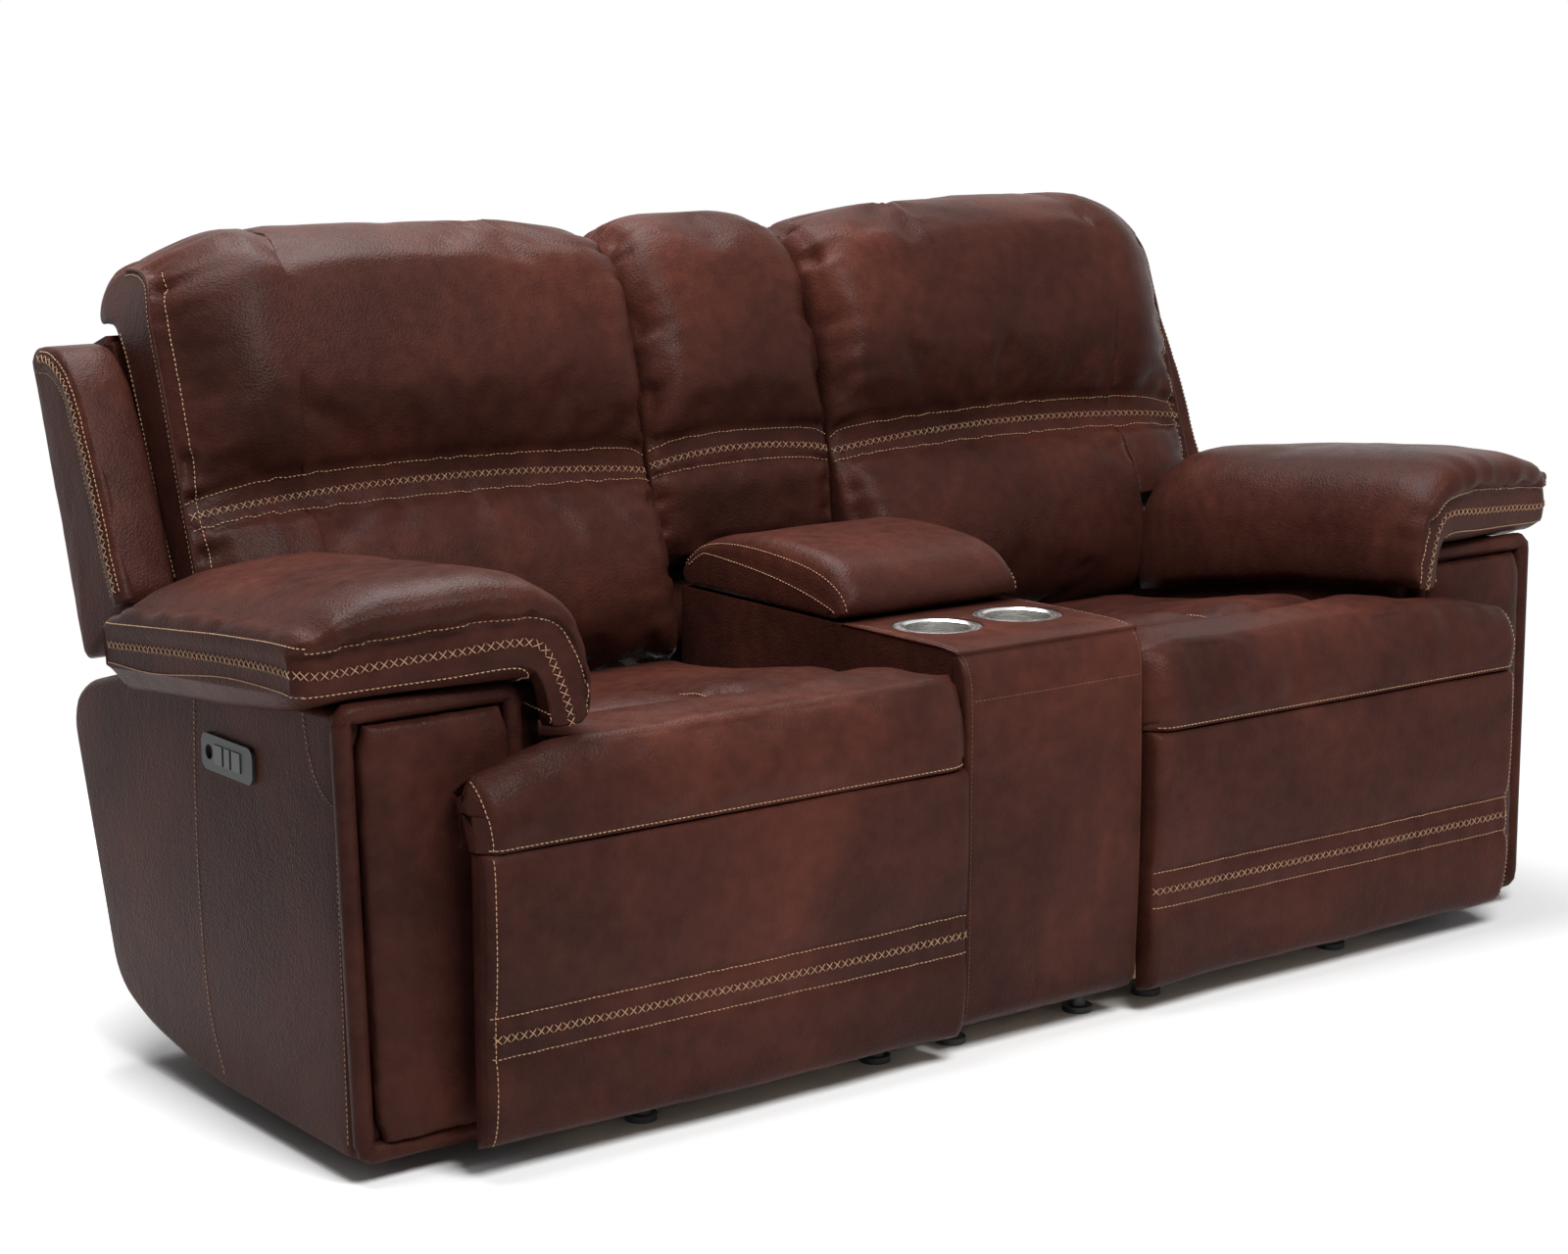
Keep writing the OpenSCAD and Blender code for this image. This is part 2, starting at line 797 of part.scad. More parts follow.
// The wing leans back a little more than the back does, and its foot is cut off at a slant
module wing() {
    color(leather)
        leaning()
            sewn_form(
                function (u, v) [
                    wing_x0 + wing_w / 2,
                    lerp(back_rear, back_rear - wing_t + wing_taper * v / 2, (u + 1) / 2),
                    lerp(
                        wing_s0 + wing_rise * (u + 1) / 2,
                        wing_s1 - wing_fall * (u + 1) / 2,
                        (v + 1) / 2
                    )
                ],
                function (u, v) [-(wing_w / 2 - soft_gap) * puff(u, v, 8), 0, 0],
                function (u, v) [-(wing_w / 2) * puff(u, v, 5), 0, 0],
                10,
                12
            );
}

// The back's rear is a shallow tray behind the plywood panel
module rear_outline(t) {
    polygon([
        [back_x0 + 2 + t, panel_s0 - 4 + t],
        [lumbar_x1 - t, panel_s0 - 4 + t],
        [lumbar_x1 - t, shelf_s + t],
        [back_x1 - t, shelf_s + 24 + t],
        [back_x1 - t, cover_s1 - t],
        [back_x0 + 2 + t, cover_s1 - t]
    ]);
}

module rear_cover() {
    color(leather)
        leaning()
            translate([0, back_rear, 0])
                rotate([90, 0, 0])
                    difference() {
                        linear_extrude(back_rear - frame_rear)
                            rear_outline(0);
                        translate([0, 0, cover_t])
                            linear_extrude(back_rear - frame_rear)
                                rear_outline(cover_t);
                    }
}

// Side plates of the recliner's mechanism, joined by two cross tubes
module mechanism_plates() {
    outline = [
        [cross_front_y - cross_w / 2, base_top],
        [pivot_y - 36, base_top],
        [rear_panel_y(rear_panel_z0) - rear_panel_gap, base_top + 40],
        [rear_panel_y(pivot_z - 90) - rear_panel_gap, pivot_z - 90],
        [pivot_y + 26, pivot_z],
        [pivot_y + 16, pivot_z + 22],
        [pivot_y - 16, pivot_z + 22],
        [pivot_y - 44, seat_frame_z - fit_gap],
        [-tube_y - 40, seat_frame_z - fit_gap],
        [-tube_y - 60, tube_z - 20],
        [cross_front_y - cross_w / 2, base_top + 30]
    ];
    color(steel) {
        for (x = [plate_x0, plate_x1 - plate_t])
            difference() {
                side_plate(x, plate_t, outline);
                pin_x(x - 1, plate_t + 2, p0, tube_r + pin_gap);
                for (y = [-190, -60, 70])
                    pin_x(x - 1, plate_t + 2, [y, 200], 42);
            }
        pin_x(plate_x0 + plate_t - 1, link_t + fit_gap + 4, [pivot_y, pivot_z], pivot_r);
        pin_x(plate_x1 - plate_t - link_t - fit_gap - 3, link_t + fit_gap + 4, [pivot_y, pivot_z], pivot_r);
        pin_x(plate_x0 + plate_t - 1, plate_x1 - plate_x0 - 2 * plate_t + 2, [yoke_y, motor_z], 10);
    }
}

module seat_frame() {
    y0 = roll_back_y + 30;
    y1 = pivot_y - 46;
    color(timber) {
        for (x = [plate_x0 - 12, plate_x1 - rail_t + 12])
            translate([x, y0, seat_frame_z])
                cube([rail_t, y1 - y0, rail_h]);
        for (y = [y0, y1 - rail_t])
            translate([plate_x0, y, seat_frame_z])
                cube([plate_x1 - plate_x0, rail_t, rail_h]);
    }
}

module seat_webbing() {
    y0 = roll_back_y + 30;
    y1 = pivot_y - 46;
    lanes = 5;
    pitch = (plate_x1 - plate_x0) / lanes;
    color(cloth) {
        for (i = [0:lanes - 1])
            translate([plate_x0 + pitch * (i + 0.5) - 28, y0 + 4, web_z])
                cube([56, y1 - y0 - 8, web_t]);
        for (i = [0:3])
            translate([plate_x0 - 8, lerp(y0 + 50, y1 - 106, i / 3), web_z + web_t])
                cube([plate_x1 - plate_x0 + 16, 56, web_t]);
    }
}

module seat_cushion() {
    y0 = roll_back_y + soft_gap;
    depth = seat_back_y - y0;
    seam_z = seat_under + 26;
    channel = 2 * (front_y + channel_back - y0) / depth - 1;
    color(leather)
        sewn_form(
            function (u, v) [
                seat_mid_x + seat_w / 2 * u,
                lerp(y0, seat_back_y, (v + 1) / 2),
                seam_z
            ],
            function (u, v)
                let (top = seat_h - 4 - seam_z - seat_fall * smooth(-0.9, 1, v))
                [
                    0,
                    0,
                    (top - channel_depth * dent(v, channel + 0.12 * u * u, 0.07)) * puff(u, v, 5)
                ],
            function (u, v) [0, 0, 25 * puff(u, v, 8)],
            12,
            16
        );
}

module seat_roll() {
    color(leather)
        sewn_form(
            function (u, v) [
                lerp(tee_x0, tee_x1, (u + 1) / 2),
                front_y + roll_t / 2,
                lerp(roll_seam_z + soft_gap, seat_h - 34 * smooth(0.5, 1, u), (v + 1) / 2)
            ],
            function (u, v) [0, -roll_t / 2 * crown(u, 8) * crown(v, 3), 0],
            function (u, v) [0, -roll_t / 2 * crown(u, 8) * crown(v, 4), 0],
            12,
            8
        );
}

// Gearmotor with its rail under the torque tube, held at the rear by a yoke round the cross tube
module motor() {
    color(black)
        translate([seat_mid_x - 36, motor_y1 - 70, motor_z - 28])
            cube([72, 60, 56]);
    color(black)
        translate([seat_mid_x, motor_y1 - 40, motor_z - 28 - 86])
            cylinder(h = 87, r = 27, $fn = 48);
    color(steel) {
        translate([seat_mid_x - rail_x, motor_y0, motor_z - rail_x])
            cube([2 * rail_x, motor_y1 - 60 - motor_y0, 2 * rail_x]);
        difference() {
            union() {
                pin_x(seat_mid_x - 16, 32, [yoke_y, motor_z], 17);
                translate([seat_mid_x - 16, motor_y1 - 12, motor_z - 14])
                    cube([32, yoke_y - motor_y1 + 12, 28]);
            }
            pin_x(seat_mid_x - 17, 34, [yoke_y, motor_z], 10 + pin_gap);
        }
    }
}

module drive_block() {
    h = rail_x + fit_gap;
    color(steel)
        difference() {
            translate([seat_mid_x - 24, block_y - 22, motor_z - 24])
                cube([48, 44, 48]);
            translate([seat_mid_x - h, block_y - 30, motor_z - h])
                cube([2 * h, 60, 2 * h]);
        }
}

module crank_links() {
    color(steel) {
        pin_x(plate_x0, plate_x1 - plate_x0, p0, tube_r);
        for (x = [plate_x0 + crank_x, plate_x1 - crank_x - link_t])
            link_plate(x, p0, q);
        pin_x(plate_x0 + crank_x + 1, pin_l, q, pin_r);
        pin_x(plate_x1 - crank_x - 1 - pin_l, pin_l, q, pin_r);
    }
}

module push_links() {
    color(steel) {
        for (x = [plate_x0 + push_x, plate_x1 - push_x - link_t])
            difference() {
                link_plate(x, q, p2);
                pin_x(x - 1, link_t + 2, q, pin_r + pin_gap);
            }
        pin_x(plate_x0 + push_x + 1, pin_l, p2, pin_r);
        pin_x(plate_x1 - push_x - 1 - pin_l, pin_l, p2, pin_r);
    }
}

module footrest_board() {
    z0 = skirt_z + 26;
    color(timber)
        translate([seat_x0 + 24, board_y, z0])
            cube([seat_x1 - seat_x0 - 44, board_d, roll_seam_z - 14 - z0]);
    color(steel)
        for (x = [plate_x0 + foot_x, plate_x1 - foot_x - link_t])
            difference() {
                union() {
                    pin_x(x, link_t, p2, 16);
                    translate([x, board_y + board_d - 1, p2[1] - 16])
                        cube([link_t, p2[0] - board_y - board_d + 1, 32]);
                }
                pin_x(x - 1, link_t + 2, p2, pin_r + pin_gap);
            }
}

module footrest_pad() {
    back_y = board_y - soft_gap;
    thick = board_y - front_y - soft_gap - 2;
    color(leather)
        sewn_form(
            function (u, v) [
                lerp(tee_x0, tee_x1, (u + 1) / 2),
                back_y - 9 + 6 * smooth(-0.6, -1, v),
                lerp(skirt_z, roll_seam_z - soft_gap, (v + 1) / 2)
            ],
            function (u, v) [
                0,
                -(thick - 9) * crown(u, 8) * crown(v, 6) * (1 - 0.12 * dent(v, -0.25, 0.08)),
                0
            ],
            function (u, v) [0, -(8.8 - 6 * smooth(-0.6, -1, v)) * puff(u, v, 10), 0],
            12,
            12
        );
}

feet();
cross_rail(cross_front_y);  // front_cross_rail
cross_rail(cross_rear_y);  // rear_cross_rail
lower_rear_panel();
on_side(-1) arm();  // arm_left
on_side(1) arm();  // arm_right
on_side(-1) arm_front_panel();  // arm_front_panel_left
on_side(1) arm_front_panel();  // arm_front_panel_right
on_side(-1) arm_pad();  // arm_pad_left
on_side(1) arm_pad();  // arm_pad_right
on_side(-1) control_bezel();  // control_bezel_left
on_side(1) control_bezel();  // control_bezel_right
console_box();
console_front_panel();
console_deck();
cup_holders();
console_lid();
console_lid_pad();
middle_back_frame();
middle_back_cushion();
on_side(-1) mechanism_plates();  // mechanism_plates_left
on_side(1) mechanism_plates();  // mechanism_plates_right
on_side(-1) seat_frame();  // seat_frame_left
on_side(1) seat_frame();  // seat_frame_right
on_side(-1) seat_webbing();  // seat_webbing_left
on_side(1) seat_webbing();  // seat_webbing_right
on_side(-1) seat_cushion();  // seat_cushion_left
on_side(1) seat_cushion();  // seat_cushion_right
on_side(-1) seat_roll();  // seat_roll_left
on_side(1) seat_roll();  // seat_roll_right
on_side(-1) motor();  // motor_left
on_side(1) motor();  // motor_right
on_side(-1) drive_block();  // drive_block_left
on_side(1) drive_block();  // drive_block_right
on_side(-1) back_panel();  // back_panel_left
on_side(1) back_panel();  // back_panel_right
on_side(-1) lumbar_cushion();  // lumbar_cushion_left
on_side(1) lumbar_cushion();  // lumbar_cushion_right
on_side(-1) wing();  // wing_left
on_side(1) wing();  // wing_right
on_side(-1) rear_cover();  // rear_cover_left
on_side(1) rear_cover();  // rear_cover_right
on_side(-1) headrest_bracket();  // headrest_bracket_left
on_side(1) headrest_bracket();  // headrest_bracket_right
on_side(-1) headrest_cushion();  // headrest_cushion_left
on_side(1) headrest_cushion();  // headrest_cushion_right
on_side(-1) crank_links();  // crank_links_left
on_side(1) crank_links();  // crank_links_right
on_side(-1) push_links();  // push_links_left
on_side(1) push_links();  // push_links_right
on_side(-1) footrest_board();  // footrest_board_left
on_side(1) footrest_board();  // footrest_board_right
on_side(-1) footrest_pad();  // footrest_pad_left
on_side(1) footrest_pad();  // footrest_pad_right
on_side(-1) key(0);  // recline_key_left
on_side(1) key(0);  // recline_key_right
on_side(-1) key(1);  // home_key_left
on_side(1) key(1);  // home_key_right
on_side(-1) key(2);  // head_key_left
on_side(1) key(2);  // head_key_right
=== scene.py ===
import json
import math

import bmesh
import bpy
import numpy as np
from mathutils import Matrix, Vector
from mathutils.bvhtree import BVHTree

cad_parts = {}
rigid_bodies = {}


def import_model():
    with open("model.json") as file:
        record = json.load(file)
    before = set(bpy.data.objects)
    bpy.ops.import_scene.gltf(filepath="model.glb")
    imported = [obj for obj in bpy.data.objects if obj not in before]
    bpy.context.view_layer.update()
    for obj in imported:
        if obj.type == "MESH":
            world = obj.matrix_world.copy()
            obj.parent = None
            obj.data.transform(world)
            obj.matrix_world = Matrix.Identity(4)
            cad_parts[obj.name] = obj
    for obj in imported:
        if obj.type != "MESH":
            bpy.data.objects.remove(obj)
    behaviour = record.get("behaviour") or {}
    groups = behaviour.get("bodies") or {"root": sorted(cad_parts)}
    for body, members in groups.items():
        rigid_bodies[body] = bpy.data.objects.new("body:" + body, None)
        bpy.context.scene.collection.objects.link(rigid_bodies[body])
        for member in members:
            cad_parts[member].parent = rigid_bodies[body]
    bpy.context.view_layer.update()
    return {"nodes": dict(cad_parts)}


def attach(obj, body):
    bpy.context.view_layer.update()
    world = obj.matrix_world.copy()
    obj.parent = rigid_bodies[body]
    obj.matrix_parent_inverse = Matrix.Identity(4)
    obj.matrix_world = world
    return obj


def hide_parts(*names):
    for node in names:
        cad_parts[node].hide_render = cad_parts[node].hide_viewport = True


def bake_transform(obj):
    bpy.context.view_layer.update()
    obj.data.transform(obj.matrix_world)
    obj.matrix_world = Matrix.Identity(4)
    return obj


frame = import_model()

# All shapes below are worked out in millimetres, in the frame's own axes, and made in metres
MM = 0.001

# The seat's ends at the console, at the arm's inner side and in front of the arm, and the arm's front
SEAT_X0, SEAT_X1, SEAT_END = 154.0, 706.0, 872.0
ARM_FRONT = -392.0

# The back's leaning frame: its pivot, its lean, and the stitched band's distance up from the pivot
PIVOT = (170.0, 330.0)
LEAN = math.radians(18.7)
BAND = 352.0

# Stitches, by length and radius
LINE, FINE_LINE, CROSS = (4.6, 0.75), (4.2, 0.6), (13.5, 0.6)
THREAD_LIFT = 0.6
THREAD_SIDES = 5
# A stitch's stations: place along its length, height in radii, and width
THREAD_FORM = np.array([(-0.5, -0.9, 0.55), (-0.28, 0.35, 1), (0, 0.75, 1), (0.28, 0.35, 1), (0.5, -0.9, 0.55)])

# The band's place among the control points of the back's and the middle's front curves
BACK_BAND, MIDDLE_BAND = 8.0, 6.0

SIDES = (("left", -1), ("right", 1))


# Small helpers for curves and fields

def smooth(a, b, x):
    t = np.clip((x - a) / (b - a), 0.0, 1.0)
    return t * t * (3.0 - 2.0 * t)


def lerp(a, b, t):
    return a + (b - a) * t


def crown(w, p):
    return np.maximum(0.0, 1.0 - np.abs(w) ** p) ** (1.0 / p)


def dent(w, at, width):
    return np.exp(-(((w - at) / width) ** 2))


class Noise:
    """Smooth value noise in two directions, seeded, from -1 to 1."""

    def __init__(self, seed, cells=64):
        self.grid = np.random.RandomState(seed).uniform(-1, 1, (cells, cells))
        self.cells = cells

    def __call__(self, a, b):
        a, b = np.broadcast_arrays(np.asarray(a, float), np.asarray(b, float))
        i, j = np.floor(a).astype(int), np.floor(b).astype(int)
        s, t = smooth(0, 1, a - i), smooth(0, 1, b - j)
        g, n = self.grid, self.cells
        low = lerp(g[i % n, j % n], g[(i + 1) % n, j % n], s)
        high = lerp(g[i % n, (j + 1) % n], g[(i + 1) % n, (j + 1) % n], s)
        return lerp(low, high, t)


def leaning(x, y, s):
    """A point of the back's leaning frame, in the row frame."""
    c, k = math.cos(LEAN), math.sin(LEAN)
    x, y, s = np.broadcast_arrays(np.asarray(x, float), y, s)
    return np.stack([x, PIVOT[0] + y * c + s * k, PIVOT[1] - y * k + s * c], -1)


def upright(x, y, z):
    x, y, z = np.broadcast_arrays(np.asarray(x, float), y, z)
    return np.stack([x, y, z], -1)


def away(x, side):
    """Points made for the right side, moved to the given side."""
    return x * np.array([side, 1, 1])


def unit(v):
    return v / np.maximum(np.linalg.norm(v, axis=-1, keepdims=True), 1e-9)


def new_mesh(name, points, faces):
    mesh = bpy.data.meshes.new(name)
    mesh.from_pydata((np.asarray(points) * MM).tolist(), [], [tuple(int(k) for k in f) for f in faces])
    mesh.polygons.foreach_set("use_smooth", [True] * len(mesh.polygons))
    mesh.update()
    obj = bpy.data.objects.new(name, mesh)
    bpy.context.scene.collection.objects.link(obj)
    return obj


def coords(obj):
    co = np.zeros(len(obj.data.vertices) * 3, np.float32)
    obj.data.vertices.foreach_get("co", co)
    return co.reshape(-1, 3).astype(float) / MM


def normals(obj):
    n = np.zeros(len(obj.data.vertices) * 3, np.float32)
    obj.data.vertices.foreach_get("normal", n)
    return n.reshape(-1, 3)


def set_coords(obj, points):
    obj.data.vertices.foreach_set("co", (np.asarray(points, np.float32) * MM).ravel())
    obj.data.update()


def even_faces(obj):
    """Turns every face of a closed mesh outward."""
    bm = bmesh.new()
    bm.from_mesh(obj.data)
    bmesh.ops.recalc_face_normals(bm, faces=bm.faces)
    bm.to_mesh(obj.data)
    bm.free()
    obj.data.update()
    return obj


class Skin:
    """A sewn form, with each vertex's u and v from -1 to 1, and whether it is on the upper skin."""

    def __init__(self, name, at, up, down, nu, nv, side=1):
        u = np.sin(np.linspace(-math.pi / 2, math.pi / 2, nu + 1))[:, None]
        v = np.sin(np.linspace(-math.pi / 2, math.pi / 2, nv + 1))[None, :]
        u, v = np.broadcast_arrays(u, v)
        base, rise, fall = at(u, v), up(u, v), down(u, v)
        edge = np.zeros((nu + 1, nv + 1), bool)
        edge[[0, -1], :] = True
        edge[:, [0, -1]] = True
        rise = np.where(edge[..., None], 0.0, rise)
        fall = np.where(edge[..., None], 0.0, fall)
        top = (base + rise).reshape(-1, 3)
        low = (base - fall)[1:-1, 1:-1].reshape(-1, 3)
        points = away(np.concatenate([top, low]), side)
        upper = np.arange((nu + 1) * (nv + 1)).reshape(nu + 1, nv + 1)
        under = upper.copy()
        under[1:-1, 1:-1] = len(top) + np.arange(len(low)).reshape(nu - 1, nv - 1)

        def quads(ids, flip):
            a, b, c, d = ids[:-1, :-1], ids[:-1, 1:], ids[1:, 1:], ids[1:, :-1]
            order = (a, b, c, d) if flip else (a, d, c, b)
            return np.stack(order, -1).reshape(-1, 4)

        faces = np.concatenate([quads(upper, False), quads(under, True)])
        self.obj = even_faces(new_mesh(name, points, faces))
        count = len(points)
        self.vert_u, self.vert_v = np.zeros(count), np.zeros(count)
        for ids in (upper, under):
            self.vert_u[ids], self.vert_v[ids] = u, v
        self.is_upper = np.zeros(count, bool)
        self.is_upper[upper] = True


def inflate(obj, pinned, pressure, cap):
    """Blows a sewn form up as cloth, held where pinned is 1. No point moves by more than cap."""
    rest = coords(obj)
    group = obj.vertex_groups.new(name="held")
    for k, w in enumerate(pinned):
        if w > 0.001:
            group.add([k], float(w), "REPLACE")
    mod = obj.modifiers.new("Cloth", "CLOTH")
    cloth = mod.settings
    cloth.quality = 6
    cloth.mass = 0.3
    cloth.tension_stiffness = 15
    cloth.compression_stiffness = 10
    cloth.shear_stiffness = 4
    cloth.bending_stiffness = 1.5
    cloth.tension_damping = 8
    cloth.use_pressure = True
    cloth.uniform_pressure_force = pressure
    cloth.shrink_min = -0.02
    cloth.vertex_group_mass = "held"
    cloth.effector_weights.gravity = 0
    last = 20
    mod.point_cache.frame_start = 1
    mod.point_cache.frame_end = last
    scene = bpy.context.scene
    for f in range(1, last + 1):
        scene.frame_set(f)
    deps = bpy.context.evaluated_depsgraph_get()
    done = obj.evaluated_get(deps)
    co = np.zeros(len(rest) * 3, np.float32)
    done.data.vertices.foreach_get("co", co)
    moved = co.reshape(-1, 3) / MM - rest
    size = np.linalg.norm(moved, axis=1, keepdims=True)
    moved = moved * np.minimum(1.0, cap / np.maximum(size, 1e-6))
    obj.modifiers.remove(mod)
    scene.frame_set(1)
    set_coords(obj, rest + moved)


def ruffle(obj, amount):
    """Moves each point along its normal by amount, in millimetres."""
    set_coords(obj, coords(obj) + normals(obj) * np.asarray(amount)[:, None])


def edge_gathers(skin, seed, depth, reach, across, along):
    """Short folds that run inward from a form's four edges and fade out over reach."""
    n = Noise(seed)
    u, v = skin.vert_u, skin.vert_v
    in_u = np.exp(-(1 - np.abs(u)) / reach)
    in_v = np.exp(-(1 - np.abs(v)) / reach)
    return depth * (
        in_u * n(v * along + 7, np.abs(u) * across + 3)
        + in_v * n(u * along + 31, np.abs(v) * across + 11)
    )


# Threads: each stitch is a short thread that dips into the leather at both ends

def threads(name, runs, stitch, body=None, blend=None):
    """One mesh of stitches. runs holds arrays of the stitches' middles, normals and directions."""
    length, radius = stitch
    middle, normal, way = [np.concatenate(parts)[:, None, None] for parts in zip(*runs)]
    way = unit(way - (way * normal).sum(-1, keepdims=True) * normal)
    side = np.cross(way, normal)
    station, height, width = THREAD_FORM.T[:, None, :, None, None]
    turn = np.linspace(0, 2 * math.pi, THREAD_SIDES, endpoint=False)[:, None]
    centre = middle + way * station * length + normal * (height * radius + THREAD_LIFT)
    points = centre + radius * width * (np.cos(turn) * side + np.sin(turn) * normal)
    last = (len(THREAD_FORM) - 1) * THREAD_SIDES
    a = np.arange(last).reshape(-1, THREAD_SIDES)
    b = np.roll(a, -1, 1)
    quads = np.stack([a, b, b + THREAD_SIDES, a + THREAD_SIDES], -1).reshape(-1, 4)
    ends = np.arange(THREAD_SIDES)[::-1], last + np.arange(THREAD_SIDES)
    starts = range(0, points[..., 0].size, last + THREAD_SIDES)
    faces = [face + start for start in starts for face in (*quads, *ends)]
    obj = new_mesh(name, points.reshape(-1, 3), faces)
    dress(obj, thread, body)
    if blend:
        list(blend[:2])
        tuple(blend[2])
        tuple(blend[3])
        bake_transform(obj)


def walk(path, pitch):
    """Places along a polyline at an even pitch: index positions into the path."""
    step = np.linalg.norm(np.diff(path, axis=0), axis=1)
    run = np.concatenate([[0], np.cumsum(step)])
    marks = np.arange(pitch * 0.5, run[-1], pitch)
    return np.interp(marks, run, np.arange(len(path)))


def at_index(values, where):
    k = np.clip(np.floor(where).astype(int), 0, len(values) - 2)
    return lerp(values[k], values[k + 1], (where - k)[:, None])


def line_run(points, normals, pitch=6.5):
    where = walk(points, pitch)
    ways = np.gradient(points, axis=0)
    return [(at_index(points, where), at_index(normals, where), at_index(ways, where))]


def cross_run(points, normals, pitch=11.5):
    """Two crossed stitches at each place along the line."""
    (m, n, w), = line_run(points, normals, pitch)
    w = unit(w)
    side = np.cross(n, w)
    return [(m, n, w + side), (m + n * 0.5, n, w - side)]


# Materials

def node_material(name):
    mat = bpy.data.materials.new(name)
    mat.use_nodes = True
    tree = mat.node_tree
    shader = tree.nodes["Principled BSDF"]
    where = tree.nodes.new("ShaderNodeTexCoord").outputs["Object"]
    return mat, tree, shader, where


def add(tree, kind, **settings):
    n = tree.nodes.new(kind)
    for key, value in settings.items():
        if key in n.inputs:
            n.inputs[key].default_value = value
        else:
            setattr(n, key, value)
    return n


def noise_node(tree, where, scale, detail=3.0, rough=0.55, distortion=0.0, stretch=None):
    if stretch:
        m = add(tree, "ShaderNodeMapping", Scale=stretch)
        feed(tree, m, Vector=where)
        where = m.outputs["Vector"]
    n = add(tree, "ShaderNodeTexNoise", Scale=scale, Detail=detail, Roughness=rough, Distortion=distortion)
    feed(tree, n, Vector=where)
    return n.outputs["Fac"]


def feed(tree, node, **outputs):
    """Links outputs to a node's inputs, which are named with underscores for spaces."""
    for name, output in outputs.items():
        tree.links.new(output, node.inputs[name.replace("_", " ")])


def ramp(tree, factor, *stops):
    """A colour ramp. A stop's colour is red, green and blue, or one number for a grey."""
    r = tree.nodes.new("ShaderNodeValToRGB")
    el = r.color_ramp.elements
    while len(el) < len(stops):
        el.new(0.5)
    for e, (at, colour) in zip(el, stops):
        e.position = at
        e.color = (*np.broadcast_to(colour, 3).tolist(), 1.0)
    feed(tree, r, Fac=factor)
    return r.outputs["Color"]


def bump(tree, height, distance, strength, under=None):
    b = add(tree, "ShaderNodeBump", Distance=distance, Strength=strength)
    feed(tree, b, Height=height)
    if under:
        feed(tree, b, Normal=under)
    return b.outputs["Normal"]


def leather(name, dark, mid, warm):
    """Two-tone pebbled leather: broad cloudy colour, a fine pebble grain and faint creases."""
    mat, tree, shader, where = node_material(name)
    clouds = noise_node(tree, where, 3.4, 4.0, 0.62, 0.5)
    mottle = noise_node(tree, where, 46.0, 4.0, 0.65)
    mix = add(tree, "ShaderNodeMix", data_type="RGBA", blend_type="MULTIPLY", Factor=1.0)
    base = ramp(tree, clouds, (0.3, dark), (0.5, mid), (0.7, warm))
    feed(tree, mix, A=base, B=ramp(tree, mottle, (0.35, (0.82, 0.8, 0.8)), (0.7, (1.12, 1.1, 1.08))))
    pebble = add(tree, "ShaderNodeTexVoronoi", feature="SMOOTH_F1", Scale=330.0, Smoothness=0.5)
    feed(tree, pebble, Vector=where)
    grain = noise_node(tree, where, 210.0, 5.0, 0.6, 0.3)
    crease = noise_node(tree, where, 48.0, 3.0, 0.5, 1.4, stretch=(1.0, 1.0, 0.4))
    n = bump(tree, pebble.outputs["Distance"], 0.0016, 0.34)
    n = bump(tree, crease, 0.003, 0.16, bump(tree, grain, 0.001, 0.3, n))
    shine = ramp(tree, mottle, (0.3, 0.31), (0.75, 0.43))
    feed(tree, shader, Base_Color=mix.outputs["Result"], Roughness=shine, Normal=n)
    shader.inputs["Specular IOR Level"].default_value = 0.045
    return mat


def thread_material():
    mat, tree, shader, where = node_material("thread")
    twist = noise_node(tree, where, 900.0, 2.0, 0.5, stretch=(1.0, 1.0, 0.4))
    tint = ramp(tree, twist, (0.3, (0.21, 0.115, 0.063)), (0.7, (0.36, 0.215, 0.12)))
    feed(tree, shader, Base_Color=tint, Normal=bump(tree, twist, 0.0003, 0.5))
    shader.inputs["Roughness"].default_value = 0.7
    return mat


def metal(name, colour, rough, scratch, metallic=1.0):
    mat, tree, shader, where = node_material(name)
    lines = noise_node(tree, where, 40.0, 4.0, 0.6, stretch=(1.0, 1.0, 30.0))
    tint = ramp(tree, lines, (0.3, tuple(c * 0.8 for c in colour)), (0.7, colour))
    shine = ramp(tree, lines, (0.3, rough * 0.75), (0.7, rough * 1.2))
    feed(tree, shader, Base_Color=tint, Roughness=shine, Normal=bump(tree, lines, 0.0003, scratch))
    shader.inputs["Metallic"].default_value = metallic
    return mat


def timber_material():
    mat, tree, shader, where = node_material("timber")
    rings = noise_node(tree, where, 9.0, 5.0, 0.6, 1.5, stretch=(0.25, 3.0, 3.0))
    tint = ramp(tree, rings, (0.3, (0.34, 0.22, 0.12)), (0.5, (0.52, 0.36, 0.21)), (0.7, (0.6, 0.44, 0.28)))
    feed(tree, shader, Base_Color=tint, Normal=bump(tree, rings, 0.001, 0.2))
    shader.inputs["Roughness"].default_value = 0.7
    return mat


def plastic(name, colour, rough):
    mat, tree, shader, where = node_material(name)
    fine = noise_node(tree, where, 1400.0, 2.0, 0.5)
    tint = ramp(tree, fine, (0.3, colour), (0.7, tuple(c * 1.4 + 0.004 for c in colour)))
    shine = ramp(tree, fine, (0.3, rough), (0.8, rough * 1.15))
    feed(tree, shader, Base_Color=tint, Roughness=shine, Normal=bump(tree, fine, 0.0002, 0.35))
    return mat


